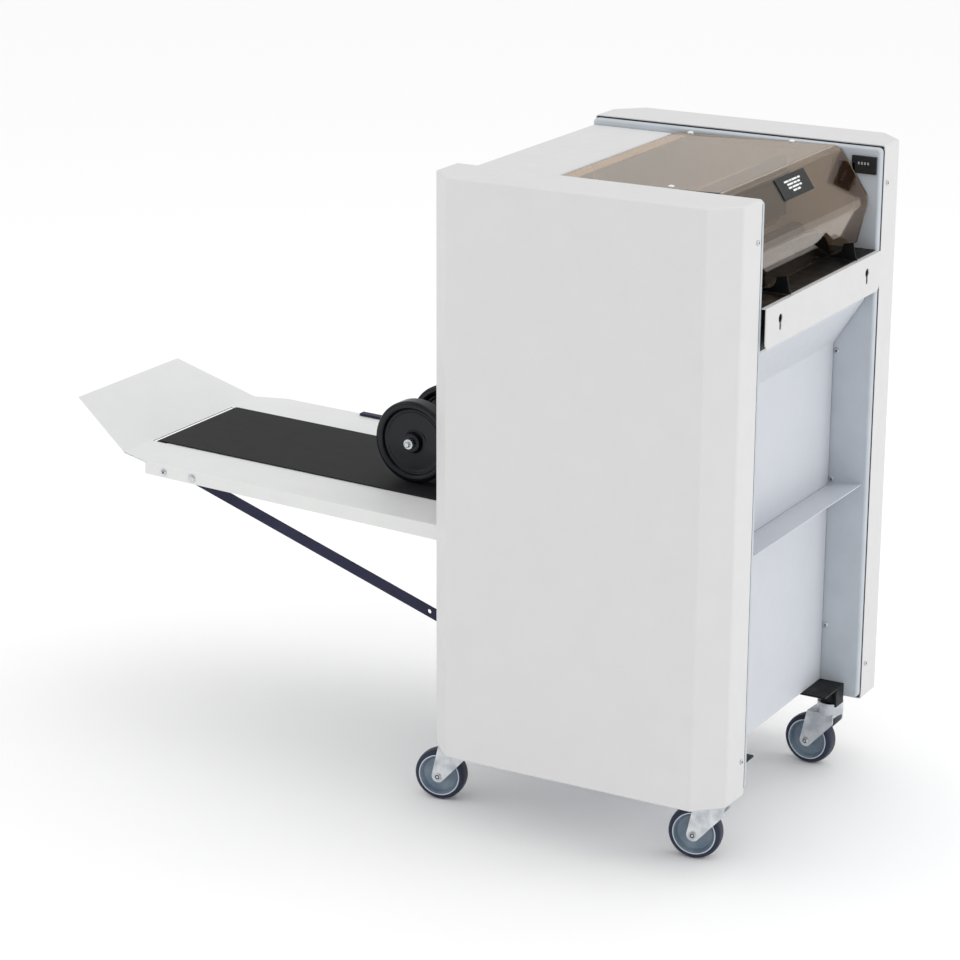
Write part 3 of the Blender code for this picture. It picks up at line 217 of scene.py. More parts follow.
COVER_GREY = powder_coat("cover_grey", (0.66, 0.66, 0.66), 0.008)
FRAME_BLUE_GREY = powder_coat("frame_blue_grey", (0.50, 0.54, 0.585), 0.03, 0.40)
PANEL_GREY = powder_coat("panel_grey", (0.585, 0.61, 0.655), 0.008, 0.42)
DOCK_WHITE = powder_coat("dock_white", (0.64, 0.64, 0.645), 0.01, 0.40)
TRAY_GREY = powder_coat("tray_grey", (0.74, 0.75, 0.74), 0.010, 0.42, 0.00016)
BLACK_COAT = powder_coat("black_coat", (0.006, 0.007, 0.008), 0.25, 0.45, shine=0.22)
NAVY_COAT = powder_coat("navy_coat", (0.019, 0.021, 0.047), 0.20, 0.38, shine=0.18)
MOTOR_GREY = powder_coat("motor_grey", (0.22, 0.23, 0.24), 0.06, 0.50)
print("powder coats:", [m.name for m in bpy.data.materials if m.name.endswith(("grey", "coat"))])

# %% [markdown]
# Zinc plate is bright but soft: rolled sheet under a thin bluish skin, brushed one way. Ground
# blade steel is brighter, with its grind marks drawn out along the length of the blade.

# %% Metals
def zinc_plate():
    material = plain("zinc_plate", (0.62, 0.65, 0.68), 0.28, 0.95)
    mottle(material, 120, (0.56, 0.59, 0.62), (0.72, 0.74, 0.77))
    sheen_drift(material, 240, 0.22, 0.38)
    return grain(material, 500, 0.00005, 0.4)

def fork_zinc_with_painted_reflection():
    material = plain("fork_zinc_with_painted_reflection", (0.62, 0.64, 0.67), 0.30, 0.95)
    # The coarse light and dark blotching is painted reflection: the contrast bright metal picks up from its
    # surroundings.
    mottle(material, 60, (0.50, 0.53, 0.57), (0.76, 0.78, 0.80))
    sheen_drift(material, 90, 0.30, 0.45)
    return grain(material, 300, 0.00005, 0.3)

def ground_steel():
    material = plain("ground_steel", (0.62, 0.63, 0.65), 0.25, 1.0)
    mottle(material, 90, (0.52, 0.53, 0.55), (0.70, 0.71, 0.72), 2.0, (1, 0.05, 1))
    return grain(material, 1400, 0.00004, 0.5, 2.0, (1, 0.03, 1))

ZINC = zinc_plate()
FORK_ZINC_WITH_PAINTED_REFLECTION = fork_zinc_with_painted_reflection()
GROUND_STEEL = ground_steel()
# Near-black painted shade, for the screws' cross recesses and the dark rings on the caster axle ends.
PAINTED_RECESS_SHADE = grain(plain("painted_recess_shade", (0.03, 0.03, 0.035), 0.6, 0.4), 900, 0.00004)
print("metals:", [m.name for m in (ZINC, FORK_ZINC_WITH_PAINTED_REFLECTION, GROUND_STEEL, PAINTED_RECESS_SHADE)])

# %% [markdown]
# Plastics and rubber differ mostly in their skin. The press wheels are polished from the mould,
# the tyres are dull with a fine tooth, and the belt has a finer, cloth-like grain.

# %% Plastics and rubber
def gloss_black():
    material = plain("gloss_black", (0.005, 0.006, 0.009), 0.16)
    material.node_tree.nodes["Principled BSDF"].inputs["Specular IOR Level"].default_value = 0.32
    sheen_drift(material, 40, 0.12, 0.24)
    return grain(material, 260, 0.00004, 0.25)

def rubber(name, colour, roughness, scale=700):
    light = tuple(c * 1.25 for c in colour)
    material = plain(name, colour, roughness)
    material.node_tree.nodes["Principled BSDF"].inputs["Specular IOR Level"].default_value = 0.30
    mottle(material, 45, colour, light)
    return grain(material, scale, 0.0001, 0.5)

def wheel_body():
    material = plain("wheel_body", (0.16, 0.21, 0.27), 0.34)
    mottle(material, 35, (0.13, 0.18, 0.24), (0.21, 0.27, 0.33))
    return grain(material, 420, 0.00005, 0.35)

def moulded_black():
    material = plain("moulded_black", (0.012, 0.013, 0.014), 0.42)
    sheen_drift(material, 200, 0.36, 0.50)
    return grain(material, 1100, 0.00006, 0.5)

GLOSS_BLACK = gloss_black()
TYRE_NAVY = rubber("tyre_navy", (0.018, 0.024, 0.045), 0.45)
BELT_BLACK = rubber("belt_black", (0.012, 0.012, 0.014), 0.62, 1200)
ROLLER_BLACK = rubber("roller_black", (0.02, 0.02, 0.021), 0.6)
EDGING_AND_GAP_SHADE = rubber("edging_and_gap_shade", (0.008, 0.008, 0.014), 0.55)
WHEEL_BODY = wheel_body()
WHEEL_RIM = grain(plain("wheel_rim", (0.62, 0.68, 0.76), 0.38), 300, 0.00004)
MOULDED_BLACK = moulded_black()
STUD_WHITE = grain(plain("stud_white", (0.85, 0.85, 0.84), 0.4), 500, 0.00004)
print(len(bpy.data.materials), "finishes so far")

# %% [markdown]
# The hood is bronze-tinted acrylic, 3 mm thick. Light is tinted once as it goes in and once as
# it comes out, so the colour set here is about the square root of what one wall lets through.

# %% Smoked acrylic
def smoked_acrylic():
    material = plain("smoked_acrylic", (0.85, 0.66, 0.48), 0.02)
    shader = material.node_tree.nodes["Principled BSDF"]
    shader.inputs["Transmission Weight"].default_value = 1.0
    shader.inputs["IOR"].default_value = 1.49
    return grain(material, 12, 0.00008, 0.10)

SMOKED_ACRYLIC = smoked_acrylic()
print("hood finish:", SMOKED_ACRYLIC.name)

# %% [markdown]
# ## Helpers that make a piece
#
# A finished piece is a mesh whose vertices are already where they belong, riding on the body
# that moves it. A Weighted Normal modifier keeps wide flat faces flat beside small bevels.

# %% Finish a piece
def piece(name, bm, materials, body, stands_for=(), sharp=35, edge=0.0):
    mesh = bpy.data.meshes.new(name)
    bm.to_mesh(mesh)
    bm.free()
    for material in materials if isinstance(materials, (list, tuple)) else [materials]:
        mesh.materials.append(material)
    mesh.shade_smooth()
    thing = bpy.data.objects.new(name, mesh)
    bpy.context.scene.collection.objects.link(thing)
    if edge:
        rounding = thing.modifiers.new("edge", "BEVEL")
        rounding.width, rounding.segments, rounding.limit_method = edge, 2, "ANGLE"
        rounding.angle_limit = radians(40)
        rounding.use_clamp_overlap = True
    mesh.set_sharp_from_angle(angle=radians(sharp))
    flat = thing.modifiers.new("flat_faces", "WEIGHTED_NORMAL")
    flat.keep_sharp = not edge
    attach(thing, body)
    if stands_for:
        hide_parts(*stands_for)
    return thing

def wall(thing, thickness):
    """Give a sheet its wall, half on each side, before any other modifier acts."""
    sheet = thing.modifiers.new("wall", "SOLIDIFY")
    sheet.thickness, sheet.offset, sheet.use_even_offset = thickness, 0.0, True
    thing.modifiers.move(len(thing.modifiers) - 1, 0)

# %% [markdown]
# Wheels, axles, screws and bearing cups are turned parts. Spinning half a section about its axis
# makes each one as a lathe would, and rounding the section's corners first rounds every rim.

# %% Turned pieces
def turned(bm, profile, centre, axis=(0, 1, 0), steps=64, material=0):
    """Turn a (radius, height) profile about an axis; height runs along the axis."""
    axis = Vector(axis).normalized()
    side = axis.orthogonal().normalized()
    start = [bm.verts.new(Vector(centre) + side * r + axis * h) for r, h in profile]
    edges = [bm.edges.new(pair) for pair in zip(start, start[1:])]
    before = set(bm.faces)
    bmesh.ops.spin(bm, geom=start + edges, cent=centre, axis=axis, angle=2 * pi, steps=steps,
                   use_merge=True)
    made = [f for f in bm.faces if f not in before]
    points = list({v for f in made for v in f.verts})
    bmesh.ops.remove_doubles(bm, verts=points, dist=1e-6)
    made = [f for f in bm.faces if f not in before]
    bmesh.ops.recalc_face_normals(bm, faces=made)
    for face in made:
        face.material_index = material
    return made

def rounded(profile, radius, steps=3):
    """The same profile with its inner corners rounded."""
    out = [Vector(profile[0])]
    for before, corner, after in zip(profile, profile[1:], profile[2:]):
        before, corner, after = Vector(before), Vector(corner), Vector(after)
        reach = min(radius, (before - corner).length * 0.45, (after - corner).length * 0.45)
        start = corner + (before - corner).normalized() * reach
        end = corner + (after - corner).normalized() * reach
        for i in range(steps + 1):
            t = i / steps
            out.append(start * (1 - t) ** 2 + corner * 2 * t * (1 - t) + end * t ** 2)
    return [tuple(p) for p in out + [Vector(profile[-1])]]

# %% [markdown]
# A bent sheet is a line drawn edge-on, swept across the machine, with each fold rounded by a
# bevel and the wall given by Solidify. That is how the press brake makes the real one. A flat
# plate is an outline with its holes, filled and then given its thickness, as a laser cuts it.

# %% Bent sheets and flat plates
def bent_sheet(path, y_low, y_high, radius=0.002):
    bm = bmesh.new()
    points = [bm.verts.new((x, y_low, z)) for x, z in path]
    edges = [bm.edges.new(pair) for pair in zip(points, points[1:])]
    swept = bmesh.ops.extrude_edge_only(bm, edges=edges)["geom"]
    moved = [v for v in swept if isinstance(v, bmesh.types.BMVert)]
    bmesh.ops.translate(bm, vec=(0, y_high - y_low, 0), verts=moved)
    folds = [e for e in bm.edges if len(e.link_faces) == 2]
    if folds and radius:
        bmesh.ops.bevel(bm, geom=folds, offset=radius, segments=5, profile=0.5, affect="EDGES",
                        material=-1)
    return bm

def flat_plate(bm, loops, place, thickness):
    """Fill an outline and its holes, and give them a thickness. place turns (u, v) into space."""
    edges = []
    for loop in loops:
        points = [bm.verts.new(place(u, v)) for u, v in loop]
        edges += [bm.edges.new((a, b)) for a, b in zip(points, points[1:] + points[:1])]
    filled = bmesh.ops.triangle_fill(bm, edges=edges, use_beauty=True)["geom"]
    faces = [g for g in filled if isinstance(g, bmesh.types.BMFace)]
    swept = bmesh.ops.extrude_face_region(bm, geom=faces)["geom"]
    moved = [v for v in swept if isinstance(v, bmesh.types.BMVert)]
    bmesh.ops.translate(bm, vec=thickness, verts=moved)
    island = {f for v in moved for f in v.link_faces} | set(faces)
    bmesh.ops.recalc_face_normals(bm, faces=list(island))

def arc(centre, radius, start, stop, steps):
    return [(centre[0] + radius * cos(radians(start + (stop - start) * i / steps)),
             centre[1] + radius * sin(radians(start + (stop - start) * i / steps)))
            for i in range(steps + 1)]

def block(bm, low, high, material=0):
    low, high = Vector(low), Vector(high)
    place = Matrix.LocRotScale((low + high) / 2, None, high - low)
    made = bmesh.ops.create_cube(bm, size=1.0, matrix=place)["verts"]
    faces = list({f for v in made for f in v.link_faces})
    for face in faces:
        face.material_index = material
    return faces

# %% [markdown]
# Many solids already have the right shape and only lack the small roundings that catch light.
# For those a copy is merged, its flat faces are joined, wide folds get the bend radius of the
# sheet, and every other sharp edge gets a fine bevel. The copy then stands for its solid.

# %% Soften a solid
RIM_WIDTH = 0.0035               # a face narrower than this is the edge of a sheet

def is_thin(face):
    longest = max(e.calc_length() for e in face.edges)
    return face.calc_area() / longest < RIM_WIDTH

def softened(node, material, bend=0.0015, rim=0.0003):
    bm = bmesh.new()
    bm.from_mesh(frame["nodes"][node].data)
    bmesh.ops.remove_doubles(bm, verts=bm.verts, dist=1e-5)
    bmesh.ops.dissolve_limit(bm, angle_limit=radians(0.6), verts=bm.verts, edges=bm.edges)
    sharp = [e for e in bm.edges if e.is_manifold and e.calc_face_angle(0) > radians(22)]
    folds = [e for e in sharp if not any(is_thin(f) for f in e.link_faces)]
    if folds and bend:
        bmesh.ops.bevel(bm, geom=folds, offset=bend, segments=4, profile=0.5, affect="EDGES",
                        material=-1, clamp_overlap=True)
    rims = [e for e in bm.edges if e.is_manifold and e.calc_face_angle(0) > radians(50)]
    if rims and rim:
        bmesh.ops.bevel(bm, geom=rims, offset=rim, segments=1, profile=0.5, affect="EDGES",
                        material=-1, clamp_overlap=True)
    piece(node + "_skin", bm, material, bodies_of[node], (node,), sharp=50)

# %% [markdown]
# ## Screws
#
# Pan-head screws hold the covers and frames. Each is a turned dome whose cross recess is drawn as
# a thin dark cross standing on top, painted shade, and one piece holds all the screws of one place.

# %% Screws
SCREW_RISE = 0.0022
# The cross is not cut in: it stands a hair above the head and is painted near-black as shade.
SHADE_CROSS_LIFT, SHADE_CROSS_THICKNESS = 0.00003, 0.00008

def screw(bm, place, out, radius):
    """A pan head whose cross recess is a thin dark cross of painted shade, standing on a face whose normal is out.
    """
    place, out, rise = Vector(place), Vector(out).normalized(), SCREW_RISE
    profile = rounded([(radius, 0), (radius, rise * 0.55), (radius * 0.62, rise), (0, rise)],
                      rise * 0.6)
    turned(bm, profile, place, out, 20)
    across = out.orthogonal().normalized()
    for turn in (0, 90):
        arm = Matrix.Rotation(radians(turn), 3, out) @ across
        other = out.cross(arm)
        middle = place + out * (rise + SHADE_CROSS_LIFT)
        corners = [middle + arm * (a * radius * 0.55) + other * (b * radius * 0.12)
                   for a, b in ((-1, -1), (1, -1), (1, 1), (-1, 1))]
        face = bm.faces.new([bm.verts.new(c) for c in corners])
        face.normal_update()
        if face.normal.dot(out) < 0:
            face.normal_flip()
        swept = bmesh.ops.extrude_face_region(bm, geom=[face])["geom"]
        lower = [v for v in swept if isinstance(v, bmesh.types.BMVert)]
        bmesh.ops.translate(bm, vec=out * SHADE_CROSS_THICKNESS, verts=lower)
        island = {f for v in lower for f in v.link_faces} | {face}
        bmesh.ops.recalc_face_normals(bm, faces=list(island))
        for made in island:
            made.material_index = 1

def screws(name, places, out, radius=0.0036):
    bm = bmesh.new()
    for place in places:
        screw(bm, place, out, radius)
    piece(name, bm, [ZINC, PAINTED_RECESS_SHADE], "cabinet", sharp=50)
    print(name, len(places), "screws")

# %% [markdown]
# ## Side covers
#
# Each cover is one folded box, open towards the machine. Its outer skin starts as a block whose
# outer uprights are chamfered and whose bends get the radius of folded sheet. The inner skin is
# the same block, one wall smaller, and a strip round the open side joins the two.

# %% Open boxes of sheet metal
SHEET = 0.0015

def open_box(low, high, open_y, shape):
    bm = bmesh.new()
    for inset in (0.0, SHEET):
        inner_low, inner_high = low + Vector((inset,) * 3), high - Vector((inset,) * 3)
        if abs(high.y - open_y) < 1e-6:
            inner_high.y = open_y
        else:
            inner_low.y = open_y
        finished = set(bm.faces)
        block(bm, inner_low, inner_high)
        shape(bm, [f for f in bm.faces if f not in finished], inset)
        skin = [f for f in bm.faces if f not in finished]
        mouth = [f for f in skin if abs(f.calc_center_median().y - open_y) < 1e-6]
        bmesh.ops.delete(bm, geom=mouth, context="FACES")
        if inset:
            skin = [f for f in bm.faces if f not in finished]
            bmesh.ops.reverse_faces(bm, faces=skin)
    rim = [e for e in bm.edges if e.is_boundary]
    bmesh.ops.bridge_loops(bm, edges=rim)
    return bm

def bevelled(bm, edges, size, steps):
    bmesh.ops.bevel(bm, geom=list(edges), offset=size, segments=steps, profile=0.5,
                    affect="EDGES", material=-1)

# %% [markdown]
# The chamfered uprights are wide flat bands, so they take a bevel of one segment. The bends
# that follow take four. The inner skin's chamfer is a little smaller, which keeps the wall the
# same thickness round the corner.

# %% Side covers
COVER_CHAMFER = 0.0365
CHAMFER_SHRINK = 0.586           # of the wall, for a chamfer at 45 degrees
BEND = 0.0032
COVER_SCREW_INSET = 0.011
COVER_SCREW_HEIGHTS = (0.870, 0.160)

def side_cover(where, side):
    low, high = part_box("side_cover_" + where)
    inner, outer = (high.y, low.y) if side < 0 else (low.y, high.y)

    def shape(bm, faces, inset):
        closed = outer - side * inset
        uprights = [e for e in {e for f in faces for e in f.edges}
                    if all(abs(v.co.y - closed) < 1e-5 for v in e.verts)
                    and abs(e.verts[0].co.z - e.verts[1].co.z) > 0.1]
        known = set(bm.edges) - {e for f in faces for e in f.edges}
        bevelled(bm, uprights, COVER_CHAMFER - CHAMFER_SHRINK * inset, 1)
        bends = [e for e in bm.edges if e not in known
                 and any(abs(v.co.y - inner) > 1e-5 for v in e.verts)]
        bevelled(bm, bends, BEND - inset, 4)

    name = "side_cover_" + where
    piece(name + "_shell", open_box(low, high, inner, shape), COVER_GREY, "cabinet", (name,),
          sharp=60)
    edge_y = inner + side * COVER_SCREW_INSET
    for label, x, out in (("cover_screws_", high.x, 1), ("cover_back_screws_", low.x, -1)):
        screws(label + where, [(x, edge_y, z) for z in COVER_SCREW_HEIGHTS], (out, 0, 0))
    print(name, "shell", [round(s, 4) for s in high - low])

for where, side in (("near", -1), ("far", 1)):
    side_cover(where, side)

# %% [markdown]
# ## Side frames
#
# The frames are shallow pans with rolled edges. A black strip fills the gap between frame and
# cover, and shows as a thin dark line all round: it is the edging, and painted shade in the gap.

# %% Side frames and edging
FRAME_CORNER = 0.0060
FRAME_ROLL = 0.0038
FRAME_SCREW_INSET = 0.0545
FRAME_SCREW_HEIGHTS = (0.628, 0.439, 0.217)
EDGING_OUT = 0.0006              # how far the edging stands out past the frame
EDGING_WIDTH = 0.0035
EDGING_THICKNESS = 0.0021

def rounded_rectangle(low, high, r):
    (a, c), (b, d) = low, high
    steps = 6
    return (arc((a + r, c + r), r, 180, 270, steps) + arc((b - r, c + r), r, 270, 360, steps)
            + arc((b - r, d - r), r, 0, 90, steps) + arc((a + r, d - r), r, 90, 180, steps))

def side_frame(where, side):
    name = "side_frame_" + where
    low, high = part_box(name)
    inner, outer = (high.y, low.y) if side < 0 else (low.y, high.y)

    def shape(bm, faces, inset):
        face_y = inner + side * inset
        edges = {e for f in faces for e in f.edges}
        known = set(bm.edges) - edges
        bevelled(bm, [e for e in edges if abs(e.verts[0].co.y - e.verts[1].co.y) > 0.005],
                 FRAME_CORNER - inset, 4)
        bevelled(bm, [e for e in bm.edges if e not in known
                      and all(abs(v.co.y - face_y) < 1e-5 for v in e.verts)], FRAME_ROLL - inset, 6)

    piece(name + "_pan", open_box(low, high, outer, shape), FRAME_BLUE_GREY, "cabinet", (name,),
          sharp=60)
    edging(where, side, low, high, outer)
    heads = [(infeed_edge - FRAME_SCREW_INSET, inner, z) for z in FRAME_SCREW_HEIGHTS]
    screws("frame_screws_" + where, heads, (0, -side, 0), radius=0.0042)

def edging(where, side, low, high, outer):
    """A black strip all round, between the frame's edge and the cover's: edging, and painted shade in the gap."""
    bm = bmesh.new()
    loops = [rounded_rectangle((low.x - g, low.z - g), (high.x + g, high.z + g), FRAME_CORNER + g)
             for g in (EDGING_OUT, EDGING_OUT - EDGING_WIDTH)]
    flat_plate(bm, loops, lambda x, z: (x, outer - side * 0.0001, z),
               (0, side * EDGING_THICKNESS, 0))
    piece("edging_" + where, bm, EDGING_AND_GAP_SHADE, "cabinet", sharp=60)

for where, side in (("near", -1), ("far", 1)):
    side_frame(where, side)
print("edging stands", round(EDGING_OUT * 1000, 2), "mm past each frame")

# %% [markdown]
# ## Cabinet sheets
#
# The deck and the infeed panel are redrawn as bent sheets, because their folds catch the light.
# The brace, the pan, the end wall and the drawer already have the right shape, so they keep it
# and only get softened edges. The chute is bare zinc, with a wide bend that booklets slide over.

# %% Cabinet sheets
DECK_LIP = 0.015
SLANT_LOW_Z, SLANT_HIGH_Z = 0.640, 0.708

def deck_cover():
    low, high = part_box("deck_cover")
    half = SHEET / 2
    path = [(low.x + half, low.z), (low.x + half, high.z - half), (high.x - half, high.z - half),
            (high.x - half, high.z - DECK_LIP)]
    deck = piece("deck_sheet", bent_sheet(path, low.y, high.y), COVER_GREY, "cabinet",
                 ("deck_cover",), edge=0.0003)
    wall(deck, SHEET)

def infeed_panel():
    low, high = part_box("infeed_panel")
    back, front = low.x + SHEET / 2, high.x - SHEET / 2
    path = [(back, low.z), (back, SLANT_LOW_Z), (front, SLANT_HIGH_Z), (front, high.z)]
    panel = piece("infeed_sheet", bent_sheet(path, low.y, high.y, 0.003), PANEL_GREY, "cabinet",
                  ("infeed_panel",), edge=0.0003)
    wall(panel, SHEET)

deck_cover()
infeed_panel()
for node in ("cross_brace", "base_pan", "outfeed_panel", "waste_drawer"):
    softened(node, PANEL_GREY, 0.0012)
softened("booklet_chute", ZINC, 0.004)

# %% [markdown]
# ## Docking plate
#
# A white plate hooks onto the machine upstream through two keyholes. It is cut from an outline
# with rounded lower corners, and a narrow lip turns in over the edge of the infeed table.

# %% Docking plate
KEYHOLE_Y, KEYHOLE_Z, KEYHOLE_R = 0.144, 0.757, 0.0060
SLOT_R, SLOT_DROP = 0.0030, 0.0130
DOCK_CORNER = 0.010

def keyhole(y):
    mouth = degrees(atan2(SLOT_R, (KEYHOLE_R ** 2 - SLOT_R ** 2) ** 0.5))
    return (arc((y, KEYHOLE_Z), KEYHOLE_R, -90 + mouth, 270 - mouth, 24)
            + arc((y, KEYHOLE_Z - SLOT_DROP), SLOT_R, 180, 360, 8))

def docking_plate():
    low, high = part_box("docking_plate")
    foot = low.z + DOCK_CORNER
    outline = ([(high.y, high.z), (low.y, high.z)]
               + arc((low.y + DOCK_CORNER, foot), DOCK_CORNER, 180, 270, 8)
               + arc((high.y - DOCK_CORNER, foot), DOCK_CORNER, 270, 360, 8))
    bm = bmesh.new()
    flat_plate(bm, [outline, keyhole(-KEYHOLE_Y), keyhole(KEYHOLE_Y)],
               lambda y, z: (high.x, y, z), (-SHEET, 0, 0))
    block(bm, (low.x, low.y + 0.0006, high.z - SHEET),
          (high.x - SHEET - 0.0002, high.y - 0.0006, high.z))
    piece("docking_sheet", bm, DOCK_WHITE, "cabinet", ("docking_plate",), edge=0.0004)
    print("docking plate", [round(s, 4) for s in high - low])

docking_plate()

# %% [markdown]
# ## Infeed table and side guides
#
# Table and guides are black steel. The guides are laser-cut plates, so only their rims need
# softening. A dark liner behind them closes the view into the trimming head, as the real
# machine's inner covers do, and a switch on the far frame feels whether the hood is shut.

# %% Infeed table, guides and inner liner
LINER_INSET, LINER_FOOT_Z, LINER_FOLD_Z, LINER_TOP_Z = 0.138, 0.8155, 0.886, 0.898
SWITCH_INSETS, SWITCH_HEIGHTS = (0.063, 0.036), (0.866, 0.900)

def infeed_liner():
    """It stands between the feed rollers and the knife, clear of both."""
    table_low, table_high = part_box("infeed_table")
    x = infeed_edge - LINER_INSET
    path = [(x, LINER_FOOT_Z), (x, LINER_FOLD_Z), (x - 0.006, LINER_TOP_Z)]
    sheet = bent_sheet(path, table_low.y + 0.006, table_high.y - 0.006, 0.004)
    liner = piece("inner_liner", sheet, BLACK_COAT, "cabinet", edge=0.0003)
    wall(liner, SHEET)

def interlock_switch():
    """A small switch on the far frame, which the hood presses when it is shut."""
    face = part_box("side_frame_far")[0].y
    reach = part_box("hood")[1].y + 0.0005
    bm = bmesh.new()
    block(bm, (infeed_edge - SWITCH_INSETS[0], reach, SWITCH_HEIGHTS[0]),
          (infeed_edge - SWITCH_INSETS[1], face, SWITCH_HEIGHTS[1]))
    piece("interlock_switch", bm, MOTOR_GREY, "cabinet", edge=0.0008)
    print("interlock switch", round(face - reach, 4), "deep")

infeed_liner()
interlock_switch()
softened("infeed_table", BLACK_COAT, 0.0010)
for where in ("near", "far"):
    softened("side_guide_" + where, BLACK_COAT, 0.0, 0.0003)

# %% [markdown]
# ## Hood
#
# The hood is folded from one strip of acrylic, with two end walls welded inside it. The walls
# keep a hair's breadth from the strip, so that light meets clean surfaces.

# %% Hood
HOOD_WALL = 0.0030

def hood_line():
    """Middle of the hood's wall, from its hinge edge over the top and down the front."""
    points = [(-0.3070, 0.9145), (-0.0680, 0.9200), (-0.0575, 0.9155), (-0.0180, 0.8575),
              (-0.0165, 0.8450), (-0.0300, 0.7890)]
    return [(infeed_edge + x, z) for x, z in points]

def hood_shell():
    low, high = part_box("hood")
    shell = piece("hood_shell", bent_sheet(hood_line(), low.y, high.y, 0.0024), SMOKED_ACRYLIC,
                  "hood", ("hood",), edge=0.0004)
    wall(shell, HOOD_WALL)
    return low, high

def end_wall_outline():
    """Follows the inside of the strip in front, and an open jaw at the back."""
    inset = HOOD_WALL / 2 + 0.0002
    strip = hood_line()
    front = [(strip[1][0], strip[1][1] - inset),
             (strip[2][0] - inset * 0.7, strip[2][1] - inset * 0.7)]
    front += [(x - inset, z) for x, z in strip[3:]]
    jaw = [(-0.0365, 0.7890), (-0.0525, 0.7990), (-0.0365, 0.8300), (-0.0365, 0.8500),
           (-0.0790, 0.8640), (-0.0690, 0.9080), (-0.3050, 0.9035)]
    back_edge = (strip[0][0] + 0.002, strip[0][1] - inset)
    return front + [(infeed_edge + x, z) for x, z in jaw] + [back_edge]

def hood_end_walls(low, high):
    for name, y, step in (("near", low.y + 0.0002, 1), ("far", high.y - 0.0002, -1)):
        bm = bmesh.new()
        flat_plate(bm, [end_wall_outline()], lambda x, z: (x, y, z), (0, step * 0.0028, 0))
        piece("hood_end_wall_" + name, bm, SMOKED_ACRYLIC, "hood",
              edge=0.0004)

hood_low, hood_high = hood_shell()
hood_end_walls(hood_low, hood_high)
softened("hood_hinge_leaf", ZINC, 0.0)
print("hood", [round(s, 4) for s in hood_high - hood_low])

# %% [markdown]
# On the hood sit a black notice plate, with plain bars in place of words, and small white
# buffers at its edges.

# %% Notice plate and buffers
def on_slope(drop, lift):
    """A point on the front slope: drop metres down it from its top, lift metres above it."""
    top, foot = Vector(hood_line()[2]), Vector(hood_line()[3])
    along = (foot - top).normalized()
    out = Vector((-along.y, along.x))
    return top + along * drop + out * (HOOD_WALL / 2 + lift)

def slope_block(bm, y_low, y_high, drop_low, drop_high, lift_low, lift_high, material):
    corners = []
    for drop in (drop_low, drop_high):
        for lift in (lift_low, lift_high):
            point = on_slope(drop, lift)
            corners += [(point.x, y, point.y) for y in (y_low, y_high)]
    hull = bmesh.ops.convex_hull(bm, input=[bm.verts.new(c) for c in corners])["geom"]
    for face in (g for g in hull if isinstance(g, bmesh.types.BMFace)):
        face.material_index = material

PLATE_HALF, PLATE_TOP, PLATE_FOOT = 0.047, 0.002, 0.034
PLATE_UNDER, PLATE_FACE, INK_FACE = 0.0002, 0.0010, 0.00112
FIRST_ROW, ROW_STEP, ROW_HEIGHT, WORD_GAP = 0.0095, 0.0048, 0.0026, 0.002
WORD_WIDTHS = ((0.014, 0.006, 0.016, 0.008), (0.018, 0.010, 0.008),
               (0.010, 0.020, 0.007), (0.012, 0.009))

def notice_plate():
    bm = bmesh.new()
    slope_block(bm, -PLATE_HALF, PLATE_HALF, PLATE_TOP, PLATE_FOOT, PLATE_UNDER, PLATE_FACE, 0)
    for row, line in enumerate(WORD_WIDTHS):
        y = -(sum(line) + WORD_GAP * (len(line) - 1)) / 2
        drop = FIRST_ROW + row * ROW_STEP
        for word in line:
            slope_block(bm, y, y + word, drop, drop + ROW_HEIGHT, PLATE_FACE, INK_FACE, 1)
            y += word + WORD_GAP
    piece("notice_plate", bm, [MOULDED_BLACK, STUD_WHITE], "hood", sharp=30)

BUFFER_PLACES = ((-0.286, 0.1800), (-0.130, 0.1800), (-0.141, -0.1760))

def hood_buffers():
    bm = bmesh.new()
    for x, y in BUFFER_PLACES:
        z = 0.9145 + (x + 0.307) * 0.0230 + HOOD_WALL / 2 + 0.0001
        profile = rounded([(0.0042, 0), (0.0042, 0.0016), (0.0022, 0.0026), (0, 0.0026)], 0.0010)
        turned(bm, profile, (infeed_edge + x, y, z), (0, 0, 1), 24)
    piece("hood_buffers", bm, STUD_WHITE, "hood")

notice_plate()
hood_buffers()
print("notice plate with", sum(len(line) for line in WORD_WIDTHS), "bars")

# %% [markdown]
# ## Counter display
#
# A small black counter sits on the far frame and shows four plain digits, drawn as short bars.

# %% Counter display
def digit(bm, x, z, y, height, width):
    stroke = height * 0.16
    for bar in ((0, 0, width, stroke), (0, height - stroke, width, height),
                (0, 0, stroke, height), (width - stroke, 0, width, height)):
        block(bm, (x + bar[0], y - 0.0001, z + bar[1]), (x + bar[2], y + 0.0002, z + bar[3]), 1)

def counter_display():
    low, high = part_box("counter_display")
    bm = bmesh.new()
    faces = block(bm, low, high)
    rims = list({e for f in faces for e in f.edges})
    bmesh.ops.bevel(bm, geom=rims, offset=0.0006, segments=2, profile=0.5, affect="EDGES",
                    material=-1)
    middle = (low + high) / 2
    for i in range(4):
        digit(bm, middle.x - 0.0085 + i * 0.0046, middle.z + 0.0005, low.y, 0.0034, 0.0020)
    piece("counter_face", bm, [MOULDED_BLACK, STUD_WHITE], "cabinet", ("counter_display",))
    print("counter", [round(c, 4) for c in high - low])

counter_display()

# %% [markdown]
# ## Casters
#
# A caster wheel is moulded in two parts: a grey body with a dished face, and a dark tyre round
# it. A pale line shows where they meet. One profile is turned for each part. The axle is a
# riveted pin. The forks and brackets are pressed steel, and keep their solids' shape with
# softened edges.

# %% Casters
CASTERS = [end + "_" + where for end in ("infeed", "outfeed") for where in ("near", "far")]
AXLE_HEAD_OUT = 0.0168

def joint_of(child):
    return next(j for j in frame["joints"] if j["child"] == child)

